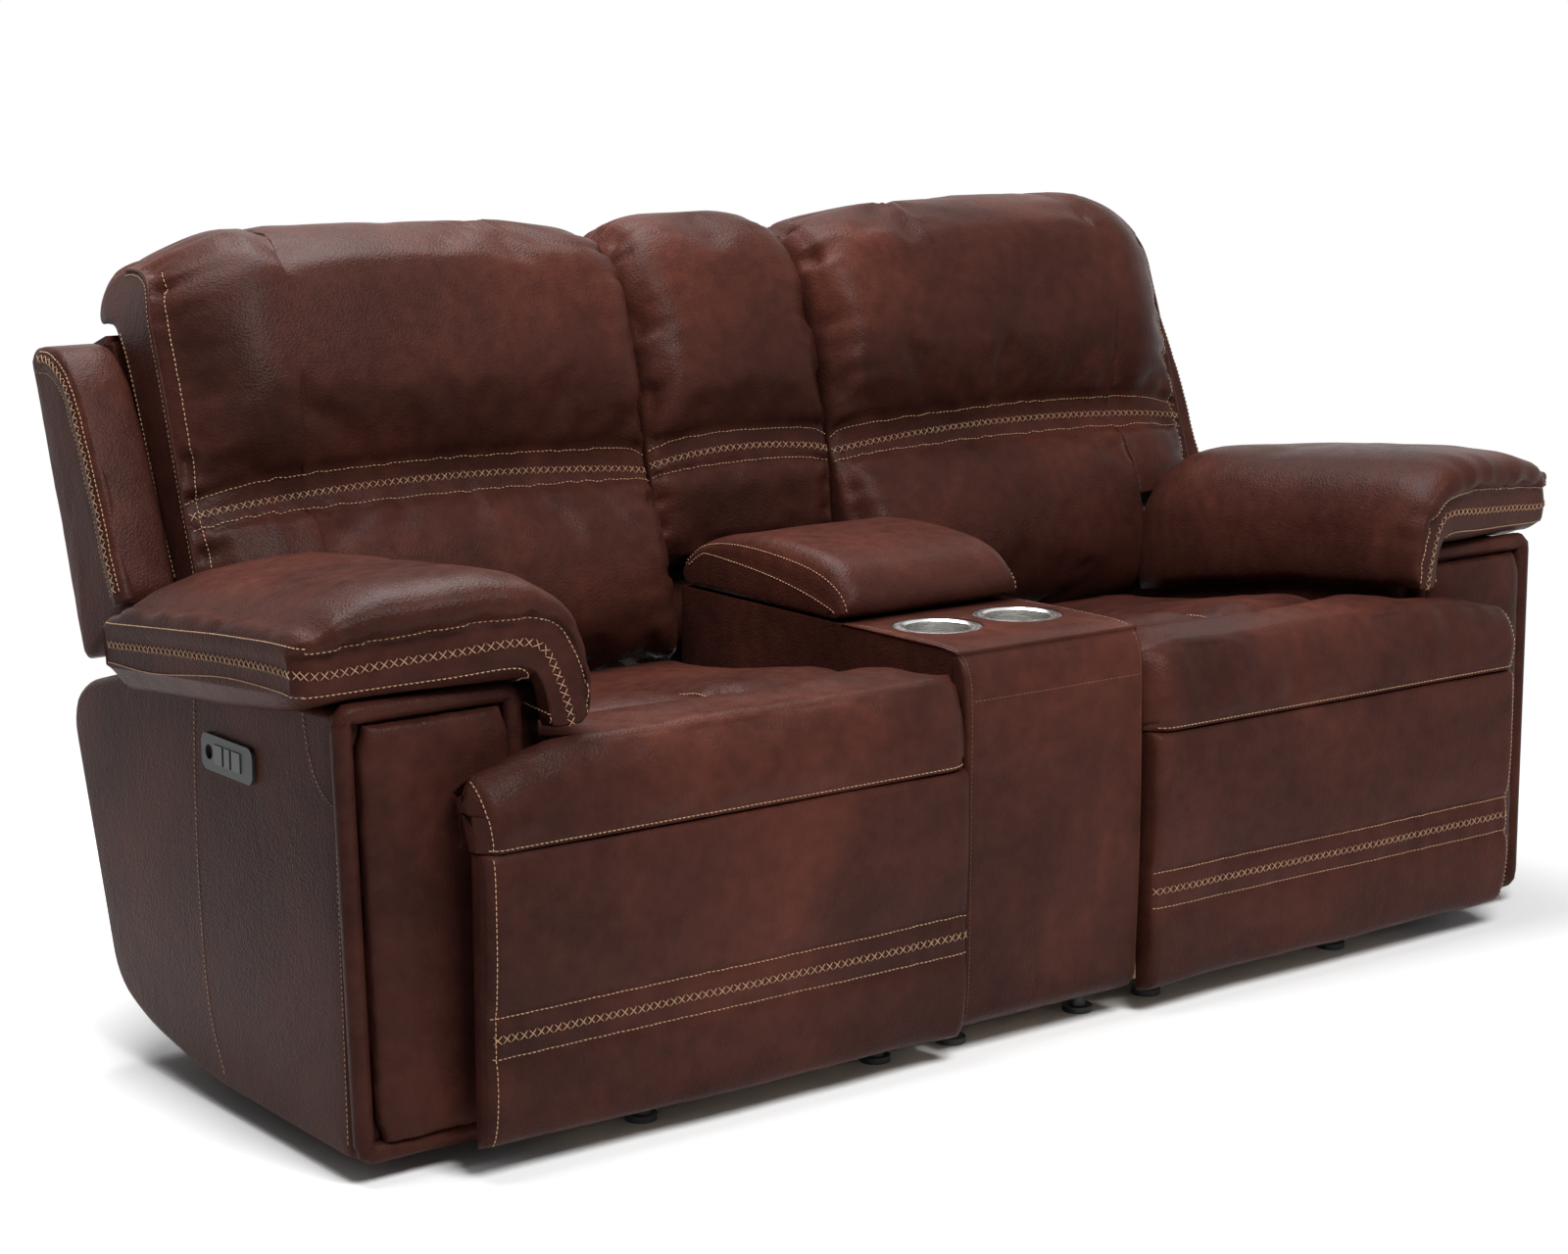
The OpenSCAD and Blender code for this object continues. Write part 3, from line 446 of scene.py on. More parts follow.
def webbing_material():
    mat, tree, shader, where = node_material("webbing")
    weave = add(tree, "ShaderNodeTexWave", Scale=160.0, Distortion=1.0)
    feed(tree, weave, Vector=where)
    height = weave.outputs["Fac"]
    tint = ramp(tree, height, (0.2, (0.02, 0.02, 0.022)), (0.8, (0.09, 0.09, 0.1)))
    feed(tree, shader, Base_Color=tint, Normal=bump(tree, height, 0.0006, 0.6))
    shader.inputs["Roughness"].default_value = 0.9
    return mat


hide = leather("leather_hide", (0.021, 0.0073, 0.0055), (0.035, 0.0112, 0.0081), (0.055, 0.0165, 0.0108))
thread = thread_material()
stainless = metal("stainless", (0.72, 0.71, 0.69), 0.28, 0.15)
dark_steel = metal("mechanism_steel", (0.05, 0.05, 0.055), 0.42, 0.1, 0.8)
timber = timber_material()
black = plastic("black_plastic", (0.012, 0.012, 0.013), 0.45)
key_black = plastic("key_plastic", (0.02, 0.02, 0.021), 0.3)
webbing = webbing_material()


def dress(obj, material, body=None, replaces=()):
    """Gives a piece its material, slot and body, and hides the CAD parts that it stands for."""
    obj.data.materials.clear()
    obj.data.materials.append(material)
    if body:
        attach(obj, body)
    if replaces:
        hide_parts(*replaces)
    return obj


# Smooth curves through control points, and forms lofted from rings

def spline(points, t):
    """Points of a smooth curve through control points, at positions t counted in control points."""
    p = np.asarray(points, float)
    p = p.reshape(len(p), -1)
    wide = np.vstack([2 * p[0] - p[1], p, 2 * p[-1] - p[-2]])
    t = np.asarray(t, float)
    k = np.clip(np.floor(t).astype(int), 0, len(p) - 2)
    f = (t - k)[:, None]
    a, b, c, d = wide[k], wide[k + 1], wide[k + 2], wide[k + 3]
    square, cube = 2 * a - 5 * b + 4 * c - d, 3 * b - a - 3 * c + d
    return 0.5 * (2 * b + (c - a) * f + square * f ** 2 + cube * f ** 3)


def even(points, count):
    """Positions along a smooth curve, counted in control points, evenly spaced on the curve."""
    t = np.linspace(0, len(points) - 1, 40 * len(points))
    path = spline(points, t)
    run = np.cumsum(np.linalg.norm(np.diff(path, axis=0, prepend=path[:1]), axis=1))
    return np.interp(np.linspace(0, run[-1], count), run, t)


def curve(points, count=120):
    return spline(points, even(points, count))


def swell(q):
    """From 0 at a seam, steeply, to 1."""
    return (1 - (1 - np.clip(q, 0, 1)) ** 2.3) ** (1 / 2.3)


def places(x0, x1, r0, r1, middle, near=11):
    """Places across a form, close together near its two ends."""
    k = (np.arange(near) / near) ** 2.1
    return np.concatenate([x0 + r0 * k, np.linspace(x0 + r0, x1 - r1, middle), x1 - r1 * k[::-1]])


class Loft:
    """A closed form made of rings. Points 0 and half way round are poles, and ladders close both ends."""

    def __init__(self, name, rings, side=1, bulge=(0.0, 0.0), cells=8):
        rings = np.asarray(rings, float)
        n, m = rings.shape[:2]
        half = m // 2
        ids = np.arange(n * m).reshape(n, m)
        a, b = ids[:-1], ids[1:]
        faces = np.stack([a, np.roll(a, -1, 1), np.roll(b, -1, 1), b], -1).reshape(-1, 4).tolist()
        points, count = [rings.reshape(-1, 3)], n * m
        k = np.arange(1, half)
        c = np.linspace(0, 1, cells + 1)[1:-1]
        for row, out in ((0, -bulge[0]), (n - 1, bulge[1])):
            inner = lerp(rings[row][k][:, None], rings[row][m - k][:, None], c[None, :, None])
            reach = (np.sin(math.pi * k / half)[:, None] * np.sin(math.pi * c)[None]) ** 0.5
            inner[..., 0] += out * reach
            new = count + np.arange(inner[..., 0].size).reshape(inner.shape[:2])
            count += new.size
            points.append(inner.reshape(-1, 3))
            grid = np.concatenate([ids[row][k][:, None], new, ids[row][m - k][:, None]], 1)
            corners = (grid[:-1, :-1], grid[:-1, 1:], grid[1:, 1:], grid[1:, :-1])
            faces += np.stack(corners, -1).reshape(-1, 4).tolist()
            for pole, edge in ((0, grid[0]), (half, grid[-1])):
                faces += [(ids[row][pole], p, q) for p, q in zip(edge[:-1], edge[1:])]
        self.n, self.m, self.ids, self.count = n, m, ids, count
        self.obj = even_faces(new_mesh(name, away(np.concatenate(points), side), faces))

    def spread(self, grid, rest=0.0):
        """One value for each vertex of the mesh, from a value for each ring point."""
        full = np.full(self.count, float(rest))
        full[self.ids] = grid
        return full

    def front(self, tf):
        """Each ring point's place in control points, and whether it is on the front curve."""
        t = np.concatenate([tf, np.full(self.m - len(tf), -9.0)])[None, :]
        return t, np.arange(self.m)[None, :] < len(tf)

    def sample(self, station, index):
        """Points and outward normals at fractional ring and point numbers, as the mesh lies now."""
        station, index = np.broadcast_arrays(np.asarray(station, float), np.asarray(index, float))
        i = np.clip(np.floor(station).astype(int), 0, self.n - 2)
        j = np.floor(index).astype(int)
        s, t = (station - i)[:, None], (index - j)[:, None]

        def mix(g):
            g = g[self.ids]
            low = lerp(g[i, j % self.m], g[i + 1, j % self.m], s)
            return lerp(low, lerp(g[i, (j + 1) % self.m], g[i + 1, (j + 1) % self.m], s), t)

        return mix(coords(self.obj)), unit(mix(normals(self.obj)))


def profile_rings(front, rear, xs, count, weight, place, shift=None):
    """Rings from pairs of control points: each curve's middle form and its form at the ends."""
    tf = even([p[0] for p in front], count + 1)
    tr = even([p[0] for p in rear], count + 1)
    x = np.asarray(xs)[:, None]
    parts = []
    for pairs, t, face in ((front, tf, 0), (rear, tr, 1)):
        mid, end = (spline([p[k] for p in pairs], t)[None] for k in (0, 1))
        w = weight(x, t[None], face)
        parts.append(lerp(end, mid, np.stack(np.broadcast_arrays(*w), -1)))
    ring = np.concatenate([parts[0], parts[1][:, ::-1][:, 1:-1]], 1)
    a, b = ring[..., 0], ring[..., 1]
    xx = np.broadcast_to(x, a.shape)
    if shift:
        xx, a, b = shift(xx, a, b)
    return place(xx, a, b), tf


# The directions that lines are laid from: from the piece's outer side, from the front and from above
SIDEWAYS, FRONT, ABOVE = (1, 0, 0), (0, -1, 0), (0, 0, 1)


def rays(obj, points, toward, side=1):
    """Lays points onto a piece and adds the normals there. Points and direction are as for the right side."""
    tree = BVHTree.FromObject(obj, bpy.context.evaluated_depsgraph_get())
    way = Vector(away(np.array(toward, float), side))
    hit_points, hit_normals = [], []
    for p in away(np.asarray(points, float), side):
        spot, normal, _, _ = tree.ray_cast(Vector(p * MM) + way * 0.2, -way, 0.5)
        if spot is not None:
            hit_points.append(np.array(spot) / MM)
            hit_normals.append(np.array(normal))
    return np.array(hit_points), np.array(hit_normals)


def inward(line):
    """Unit vectors at right angles to a line in a plane."""
    way = np.gradient(line, axis=0)
    return unit(np.stack([way[:, 1], -way[:, 0]], 1))


def ring_places(tf, *places):
    """Ring positions of places that are counted in control points."""
    return [np.interp(t, tf, np.arange(len(tf))) for t in places]


# The back cushions: lumbar and head in one skin, with the stitched band between them

BACK_FRONT = [
    ((6, 76), (-10, 76)), ((-42, 80), (-52, 81)), ((-88, 104), (-72, 102)), ((-110, 150), (-75, 150)),
    ((-118, 205), (-75, 205)), ((-116, 262), (-75, 258)), ((-105, 312), (-75, 300)), ((-90, 344), (-74, 328)),
    ((-84, 361), (-74, 342)), ((-92, 379), (-74, 356)), ((-118, 404), (-75, 384)), ((-138, 445), (-76, 430)),
    ((-147, 505), (-77, 500)), ((-147, 570), (-76, 565)), ((-141, 630), (-74, 615)), ((-122, 678), (-64, 648)),
    ((-95, 704), (-42, 668)), ((-50, 720), (-12, 681)), ((0, 725), (22, 688)), ((60, 720), (60, 686)),
]
BACK_REAR = [
    ((6, 76), (-10, 76)), ((33, 82), (8, 82)), ((33, 130), (-8, 130)), ((33, 215), (-11, 215)),
    ((33, 277), (-9, 277)), ((33, 350), (-1, 350)), ((33, 450), (4, 451)), ((33, 560), (12, 571)),
    ((38, 598), (22, 607)), ((46, 617), (37, 623)), ((62, 628), (56, 628)), ((82, 640), (76, 633)),
    ((96, 662), (87, 646)), ((101, 688), (88, 662)), ((88, 710), (78, 677)), ((60, 720), (60, 686)),
]
BACK_RIM = [
    (-74.5, 232), (-75, 300), (-74, 342), (-75, 384), (-76, 430), (-77, 500), (-76, 565), (-74, 615),
    (-64, 648), (-42, 668), (-12, 681), (14, 687),
]
BACK_LINE = [(-4, 277), (3, 350), (8, 451), (16, 560), (26, 606)]
MIDDLE_FRONT = [
    ((6, 214), (0, 214)), ((-40, 218), (-36, 219)), ((-60, 240), (-54, 240)), ((-74, 280), (-62, 276)),
    ((-88, 320), (-70, 312)), ((-89, 345), (-74, 332)), ((-86, 361), (-75, 347)), ((-92, 378), (-75, 362)),
    ((-112, 404), (-75, 388)), ((-126, 445), (-76, 432)), ((-131, 505), (-76, 500)), ((-130, 570), (-75, 563)),
    ((-124, 630), (-72, 612)), ((-106, 676), (-60, 645)), ((-80, 702), (-40, 664)), ((-40, 720), (-12, 677)),
    ((0, 726), (14, 682)), ((44, 722), (44, 680)),
]
MIDDLE_REAR = [
    ((6, 214), (0, 214)), ((30, 220), (20, 220)), ((33, 260), (30, 260)), ((33, 350), (30, 350)),
    ((33, 450), (30, 450)), ((33, 560), (30, 560)), ((38, 598), (33, 592)), ((46, 617), (40, 610)),
    ((58, 634), (50, 624)), ((62, 662), (54, 642)), ((58, 700), (52, 664)), ((44, 722), (44, 680)),
]


def band_runs(loft, tf, band, stations, count):
    """The band's two stitched edges, and the crosses along its middle."""
    across = np.linspace(1.5, stations - 2.5, count)
    low, middle, high = ring_places(tf, band - 1.17, band, band + 1.17)
    lines = line_run(*loft.sample(across, low)) + line_run(*loft.sample(across, high))
    return lines, cross_run(*loft.sample(across, middle))


def upholster(loft, xs, tf, band, depth, seed, cap):
    """Blows the form up between its seams, then lays the band's creases and gathers of the given depth."""
    x = np.asarray(xs)[:, None]
    t, front = loft.front(tf)
    to_end = np.minimum(x - xs[0], xs[-1] - x)
    to_band = np.abs(t - band) * 17
    held = np.where(front, dent(t, band, 1.1), 1.0)
    held = np.maximum(held, 1 - smooth(2, 26, to_end))
    held = np.maximum(held, np.where(front, 1 - smooth(0, 1.0, t), 1.0))
    inflate(loft.obj, loft.spread(np.clip(held, 0, 1), 1.0), 1.4, cap)
    n = Noise(seed)
    s = t * 38
    from_edge = np.maximum(0, to_band - 20)
    folds = -depth * np.exp(-to_end / 30) * np.maximum(-0.12, n(s / 12, to_end / 70 + 3))
    folds = folds - 4.6 * np.exp(-from_edge / 24) * np.maximum(-0.3, n(x / 13 + 40, from_edge / 90 + 9))
    folds = folds + 1.6 * n(x / 190 + 5, s / 150 + 17) + 0.7 * n(x / 60 + 25, s / 55 + 7)
    folds = folds * (1 - dent(t, band, 0.9)) * smooth(0, 8, to_end)
    band_shape = 2.2 * dent(t, band, 0.75)
    for edge in (band - 1.3, band + 1.3):
        band_shape = band_shape - 3.6 * dent(t, edge, 0.3)
    ruffle(loft.obj, loft.spread(np.where(front, folds + band_shape * smooth(0, 10, to_end), 0.0)))


def back_cushion(label, side):
    xs = places(162.6, 863.0, 75, 75, 46)
    xs = np.unique(np.concatenate([xs, [699.0, 701.5, 703.0, 704.5, 707.0]]))
    x0, x1 = xs[0], xs[-1]

    def weight(x, t, face):
        if face == 0:
            inner = swell((x - x0) / lerp(70, 190, smooth(13, 16.5, t)))
            outer = 1 - (1 - np.clip((x1 - x) / 122, 0, 1)) ** lerp(2.4, 1.6, smooth(7, 9, t))
            arc = 1 - ((2 * x - x0 - x1) / (x1 - x0)) ** 2
            b = inner * outer
            return b, lerp(b, arc, dent(t, BACK_BAND, 1.5))
        rise = smooth(9, 13, t)
        b = swell((x - x0) / lerp(40, 90, rise)) * swell((x1 - x) / lerp(40, 120, rise))
        return b, b

    def shift(x, y, s):
        high = smooth(590, 740, s)
        out = (x - (x0 + x1) / 2) / (x1 - x0) * 2
        s = s - 13 * high * smooth(0.3, -0.9, out)
        x = x - np.where(out > 0, 34, 12) * out * high
        low = 205 + (s - 76) * 20 / 149
        return x, y, np.where(s < 225, lerp(s, low, smooth(701.6, 704.4, x)), s)

    rings, tf = profile_rings(BACK_FRONT, BACK_REAR, xs, 116, weight, leaning, shift)
    loft = Loft("back_cushion_" + label, rings, side, (1, 1.5))
    upholster(loft, xs, tf, BACK_BAND, 17, 21 + side, 8)
    low, high = leaning(0, 0, BAND - 14) * MM, leaning(0, 0, BAND + 14) * MM
    joint = ("back_" + label, "headrest_" + label, tuple(low), tuple(high))
    lines, crosses = band_runs(loft, tf, BACK_BAND, len(xs), 260)
    ridge = curve(BACK_RIM, 90)
    taper = 34 * smooth(590, 740, ridge[:, 1])
    path = leaning(x1 - taper + 0.6, ridge[:, 0] + 1.0, ridge[:, 1])
    welt = tube("back_welt_" + label, away(path, side), 2.4, closed=False)
    dress(welt, hide)
    spots = ridge + inward(ridge) * 7
    lines += line_run(*rays(loft.obj, leaning(x1 + 30, spots[:, 0], spots[:, 1]), SIDEWAYS, side))
    up = np.linspace(*ring_places(tf, 4.4, 15.5), 200)
    lines += line_run(*loft.sample(np.full(200, len(xs) - 6.2), up))
    spots = curve(BACK_LINE, 80)
    lines += line_run(*rays(loft.obj, leaning(x1 + 30, spots[:, 0] - 9, spots[:, 1]), SIDEWAYS, side))
    stands_for = ("lumbar_cushion_" + label, "headrest_cushion_" + label)
    dress(loft.obj, hide, replaces=stands_for)
    threads("band_lines_" + label, lines, LINE, blend=joint)
    threads("band_crosses_" + label, crosses, CROSS, blend=joint)
    for obj in (welt, loft.obj):
        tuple(joint[2])
        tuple(joint[3])
        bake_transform(obj)


# The narrow back between the two seats

def middle_cushion():
    half = 156.6
    xs = places(-half, half, 66, 66, 14)

    def weight(x, t, face):
        r = lerp(66, 96, smooth(11, 14, t)) if face == 0 else lerp(36, 90, smooth(7, 10, t))
        b = swell((half - np.abs(x)) / r)
        if face:
            return b, b
        return b, lerp(b, 1 - (x / half) ** 2, dent(t, MIDDLE_BAND, 1.5))

    def shift(x, y, s):
        high = smooth(570, 740, s)
        return x * (1 - 0.14 * high), y, s - 9 * high

    rings, tf = profile_rings(MIDDLE_FRONT, MIDDLE_REAR, xs, 100, weight, leaning, shift)
    loft = Loft("middle_back", rings, 1, (1, 1))
    upholster(loft, xs, tf, MIDDLE_BAND, 14, 77, 6)
    dress(loft.obj, hide, "frame", ("middle_back_cushion",))
    lines, crosses = band_runs(loft, tf, MIDDLE_BAND, len(xs), 120)
    threads("middle_lines", lines, LINE, "frame")
    threads("middle_crosses", crosses, CROSS, "frame")


# Forms with round rims made from an outline in Y and Z

def ring_form(name, rings, side=1):
    """A closed form made of rings. Both ends close on their middles."""
    rings = np.asarray(rings, float)
    n, m = rings.shape[:2]
    points = np.concatenate([rings.reshape(-1, 3), rings[:1].mean(1), rings[-1:].mean(1)])
    a = np.arange(n * m).reshape(n, m)
    b = np.roll(a, -1, 1)
    faces = np.stack([a[:-1], b[:-1], b[1:], a[1:]], -1).reshape(-1, 4).tolist()
    faces += [(n * m, q, p) for p, q in zip(a[0], b[0])]
    faces += [(n * m + 1, p, q) for p, q in zip(a[-1], b[-1])]
    return even_faces(new_mesh(name, away(points, side), faces))


def round_outline(corners, radius, step=14.0):
    """A closed outline with its corners rounded, as evenly spaced points."""
    corners = np.asarray(corners, float)
    points = []
    count = len(corners)
    for k in range(count):
        p, c, n = corners[k - 1], corners[k], corners[(k + 1) % count]
        a, b = p - c, n - c
        la, lb = np.linalg.norm(a), np.linalg.norm(b)
        r = min(radius if np.isscalar(radius) else radius[k], la * 0.45, lb * 0.45)
        for t in np.linspace(0, 1, 9):
            start, end = c + a / la * r, c + b / lb * r
            points.append(start * (1 - t) ** 2 + 2 * c * t * (1 - t) + end * t * t)
    points = np.array(points)
    closed = np.vstack([points, points[:1]])
    run = np.concatenate([[0], np.cumsum(np.linalg.norm(np.diff(closed, axis=0), axis=1))])
    marks = np.linspace(0, run[-1], max(24, int(run[-1] / step)), endpoint=False)
    return np.stack([np.interp(marks, run, closed[:, k]) for k in (0, 1)], 1)


def outline_normals(outline):
    way = np.roll(outline, -1, 0) - np.roll(outline, 1, 0)
    n = unit(np.stack([way[:, 1], -way[:, 0]], 1))
    middle = outline.mean(0)
    return n if ((outline - middle) * n).sum() > 0 else -n


def slab(name, outline, x0, x1, radius, bulge=(0, 0), side=1, cap_rings=9):
    """An upholstered slab: an outline in Y and Z with rounded rims, and faces that crown by bulge."""
    n = outline_normals(outline)
    middle = outline.mean(0)
    rings = []

    def ring(pts, x):
        rings.append(np.column_stack([np.full(len(pts), x), pts]))

    rim = np.linspace(0, math.pi / 2, 6)
    inner = outline - n * radius
    for k in np.linspace(0.06, 0.92, cap_rings):
        ring(middle + (inner - middle) * k, x0 - bulge[0] * (1 - k ** 3))
    for t in rim:
        ring(outline - n * radius * (1 - math.sin(t)), x0 + radius * (1 - math.cos(t)))
    for t in rim[::-1]:
        ring(outline - n * radius * (1 - math.sin(t)), x1 - radius * (1 - math.cos(t)))
    for k in np.linspace(0.92, 0.06, cap_rings):
        ring(middle + (inner - middle) * k, x1 + bulge[1] * (1 - k ** 3))
    return ring_form(name, rings, side)


def tube(name, path, radius, closed=True, sides=10, flat=None):
    """A cord of leather along a path, for welts and rolls. flat is its other radius, along X."""
    path = np.asarray(path, float)
    way = (np.roll(path, -1, 0) - np.roll(path, 1, 0)) if closed else np.gradient(path, axis=0)
    way = unit(way)
    a = unit(np.cross(way, [1.0, 0.0, 0.0] if flat else [0.123, 0.456, 0.881]))
    b = np.cross(way, a)
    t = np.linspace(0, 2 * math.pi, sides, endpoint=False)
    ra, rb = radius, flat or radius
    c, k = np.cos(t)[None, :, None], np.sin(t)[None, :, None]
    rings = path[:, None] + ra * c * a[:, None] + rb * k * b[:, None]
    if not closed:
        return ring_form(name, rings)
    ids = np.arange(len(path) * sides).reshape(-1, sides)
    after = np.roll(ids, -1, 0)
    faces = np.stack([ids, np.roll(ids, -1, 1), np.roll(after, -1, 1), after], -1).reshape(-1, 4)
    return even_faces(new_mesh(name, rings.reshape(-1, 3), faces))


# The seat: one skin from the back, over the front roll, down to the roll's lower seam

TUFT = (430.0, -325.0)


def seat_outline(x):
    """Closed outline of the seat at x: deep between console and arm, shallow in front of the arm."""
    deep = x <= SEAT_X1 + 0.5
    rear = 112.0 if deep else -432.0
    crest = 499.0 - (0.0 if deep else 27 * smooth(SEAT_X1, SEAT_END, x) ** 1.5)
    fall = 72.0 if deep else 6.0
    under = 362.5 if deep else 386.0
    t = np.linspace(0, 1, 84)
    top_y = lerp(-452.0, rear, t)
    top_z = crest - fall * smooth(0.02, 1.0, t)
    front_t = np.linspace(0, 1, 26)[1:]
    front_y = -452 - 41 * np.sin(front_t * math.pi * 0.62)
    front_z = crest - (crest - 387.0) * (1 - np.cos(front_t * math.pi / 2)) ** 0.9
    low_y = np.linspace(-489.0, -432.0, 8)[1:]
    low_z = np.full(7, 386.6)
    base_y = np.linspace(-430.0, rear, 22)
    base_z = np.full(22, under)
    rear_z = np.linspace(under, crest - fall, 9)[1:-1]
    ys = np.concatenate([top_y[::-1], front_y, low_y, base_y, np.full(7, rear)])
    zs = np.concatenate([top_z[::-1], front_z, low_z, base_z, rear_z])
    return np.column_stack([ys, zs])


def groove(x):
    """Where the seam across the seat lies: it bows toward the front in the middle."""
    return -338 + 84 * ((x - TUFT[0]) / 276.0) ** 2


def seat(label, side):
    xs = [SEAT_X0 + 70 * (1 - math.cos(a)) * 0.45 for a in np.linspace(0, 1.35, 9)]
    xs += list(np.linspace(xs[-1] + 9, 400, 26)) + list(np.arange(405, 456, 4.0))
    xs += list(np.linspace(464, SEAT_X1 - 34, 24)) + [SEAT_X1 - k for k in (26, 18, 11, 5, 1.5)]
    outer = [SEAT_X1 + 2, SEAT_X1 + 7, SEAT_X1 + 13] + list(np.linspace(SEAT_X1 + 22, SEAT_END - 46, 11))
    outer += [SEAT_END - k for k in (38, 30, 23, 17, 12, 8, 4.5, 2, 0.5)] + [SEAT_END]
    n = Noise(50 + side)
    rings = []
    for x in xs + outer:
        ring = seat_outline(x)
        y, z = ring[:, 0].copy(), ring[:, 1].copy()
        end = SEAT_END - x
        top = z > 405
        if x <= SEAT_X1 + 0.5:
            u = (x - SEAT_X0) / (SEAT_X1 - SEAT_X0) * 2 - 1
            rim = 1 - (1 - min(1, min(x - xs[0], SEAT_X1 - x) / 46.0)) ** 2.6
            on_top = top & (y > -440)
            z = np.where(on_top, z - 26 * (1 - rim) * smooth(-445, -400, y), z)
            rise = 8 * (1 - abs(u) ** 2.4)
            z = np.where(on_top, z + rise * smooth(-440, -380, y) * (1 - smooth(60, 112, y) * 0.6), z)
            line = groove(x)
            sink = 15 * np.exp(-np.abs(y - line) / 13.0) + 9 * dent(y, line, 42.0)
            split = 12 * math.exp(-abs(x - TUFT[0]) / 10.0) + 8 * dent(x, TUFT[0], 36.0)
            split = split * smooth(line - 6, line + 30, y)
            away_r = np.hypot(x - TUFT[0], y - TUFT[1])
            turn = np.arctan2(y - TUFT[1], x - TUFT[0])
            pucker = 3.4 * np.exp(-away_r / 46.0) * np.cos(turn * 7 + 1.0) * smooth(6, 24, away_r)
            z = np.where(on_top, z - sink * (1 - abs(u) ** 8) - split + pucker, z)
            near = np.abs(y - line)
            fold = 1.8 * np.exp(-near / 30) * n(x / 15 + 3, near / 90 + 5) * smooth(3, 14, near)
            z = np.where(on_top, z - fold, z)
        if end < 26:
            k = (1 - max(end, 0) / 26.0) ** 2.3
            y = np.where(y < -455, y + 20 * k, y - 6 * k)
            z = np.where(z > 432, z - 20 * k, z)
        if x - xs[0] < 40:
            k = (1 - (x - xs[0]) / 40.0) ** 2.4
            front = y < -440
            y = np.where(front, lerp(y, -448.0, k * 0.6), y)
            z = np.where(top & front, z - 12 * k, z)
        wobble = 2.0 * n(x * 0.013 + 3, y * 0.011 + 5) + 1.0 * n(x * 0.045, y * 0.04 + 30)
        z = z + np.where(top & (y > -470), wobble, 0)
        y = y - np.where(top & (y < -470), 3.4 * n(x * 0.032, z * 0.012 + 9), 0)
        lean_in = np.where(x > SEAT_X1, 9 * smooth(466, 386, z) * smooth(SEAT_END - 90, SEAT_END, x), 0)
        rings.append(np.column_stack([x - lean_in, y, z]))
    obj = ring_form("seat_cushion_soft_" + label, rings, side)
    dress(obj, hide, "frame", ("seat_cushion_" + label, "seat_roll_" + label))

    def sew(x, y, z, toward):
        return line_run(*rays(obj, upright(x, y, z), toward, side))

    sx = lerp(SEAT_X0, SEAT_X1, (np.linspace(-0.96, 0.96, 150) + 1) / 2)
    runs = sew(sx, groove(sx) - 7.0, 520.0, ABOVE)
    for off in (-7.0, 7.0):
        runs += sew(TUFT[0] + off, np.linspace(-310, 96, 110), 520.0, ABOVE)
    ez = np.linspace(470, 392, 40)
    runs += sew(SEAT_END - 12.0 - 9 * smooth(466, 386, ez), -500.0, ez, FRONT)
    runs += sew(np.linspace(SEAT_X0 + 12, SEAT_END - 16, 260), -520.0, 391.5, FRONT)
    threads("seat_line_" + label, runs, LINE, "frame")


# The footrest's front: a crowned panel with its stitched band near the foot

FOOT_FRONT = [
    ((-456, 384), (-456, 383)), ((-480, 385), (-468, 384)), ((-489.5, 382), (-477, 379)),
    ((-493.5, 366), (-479, 360)), ((-495, 310), (-479, 308)), ((-495, 260), (-478, 259)),
    ((-492, 217), (-477, 216)), ((-489, 197), (-476, 196)),
    ((-488, 173), (-476, 173)), ((-489, 150), (-476, 151)), ((-492, 128), (-476, 128)),
    ((-492, 98), (-475, 98)), ((-488, 66), (-472, 68)), ((-478, 43), (-466, 46)), ((-456, 34), (-456, 37)),
]
FOOT_REAR = [((-456, 384), (-456, 383)), ((-456, 210), (-456, 210)), ((-456, 34), (-456, 37))]


def footrest(label, side):
    x0, x1 = 158.5, 861.0
    xs = places(x0, x1, 14, 16, 60, 7)
    n = Noise(90 + side)

    def weight(x, t, face):
        b = swell((x - x0) / 13) * swell((x1 - x) / 15)
        return b, b

    def shift(x, y, z):
        low = smooth(120, 40, z)
        return x, y + 3 * low * n(x / 110 + 4, 2.5), z + 3.2 * low * n(x / 90 + 1, 7.5)

    rings, tf = profile_rings(FOOT_FRONT, FOOT_REAR, xs, 78, weight, upright, shift)
    loft = Loft("footrest_soft_" + label, rings, side, (0.5, 1.5))
    x = xs[:, None]
    t, front = loft.front(tf)
    to_end = np.minimum(x - x0, x1 - x)
    shape = 1.6 * dent(t, 8.0, 0.7)
    for edge in (7.0 - 0.12, 9.0 + 0.12):
        shape = shape - 3.2 * dent(t, edge, 0.2)
        shape = shape - 1.3 * np.exp(-np.maximum(0, np.abs(t - 8) - 1.2) * 1.1) * n(x / 16 + edge, t / 5.0)
    shape = shape + 1.5 * n(x / 170 + 2, t / 3.4 + 8) + 0.5 * n(x / 50 + 2, t / 1.5 + 8)
    ruffle(loft.obj, loft.spread(np.where(front & (t > 1), shape * smooth(0, 8, to_end), 0.0)))
    body = "footrest_" + label
    dress(loft.obj, hide, body, ("footrest_pad_" + label,))
    high, middle, low = ring_places(tf, 6.95, 8.0, 9.0)
    across = np.linspace(2.5, len(xs) - 3.5, 260)
    lines = line_run(*loft.sample(across, high)) + line_run(*loft.sample(across, low))
    down = np.linspace(*ring_places(tf, 2.0, 13.0), 160)
    lines += line_run(*loft.sample(np.full(160, len(xs) - 6.0), down))
    threads("foot_lines_" + label, lines, LINE, body)
    threads("foot_crosses_" + label, cross_run(*loft.sample(across, middle)), CROSS, body)


# Arms: an upholstered box, a rolled frame with a stuffed panel on its front, and the big pad on top

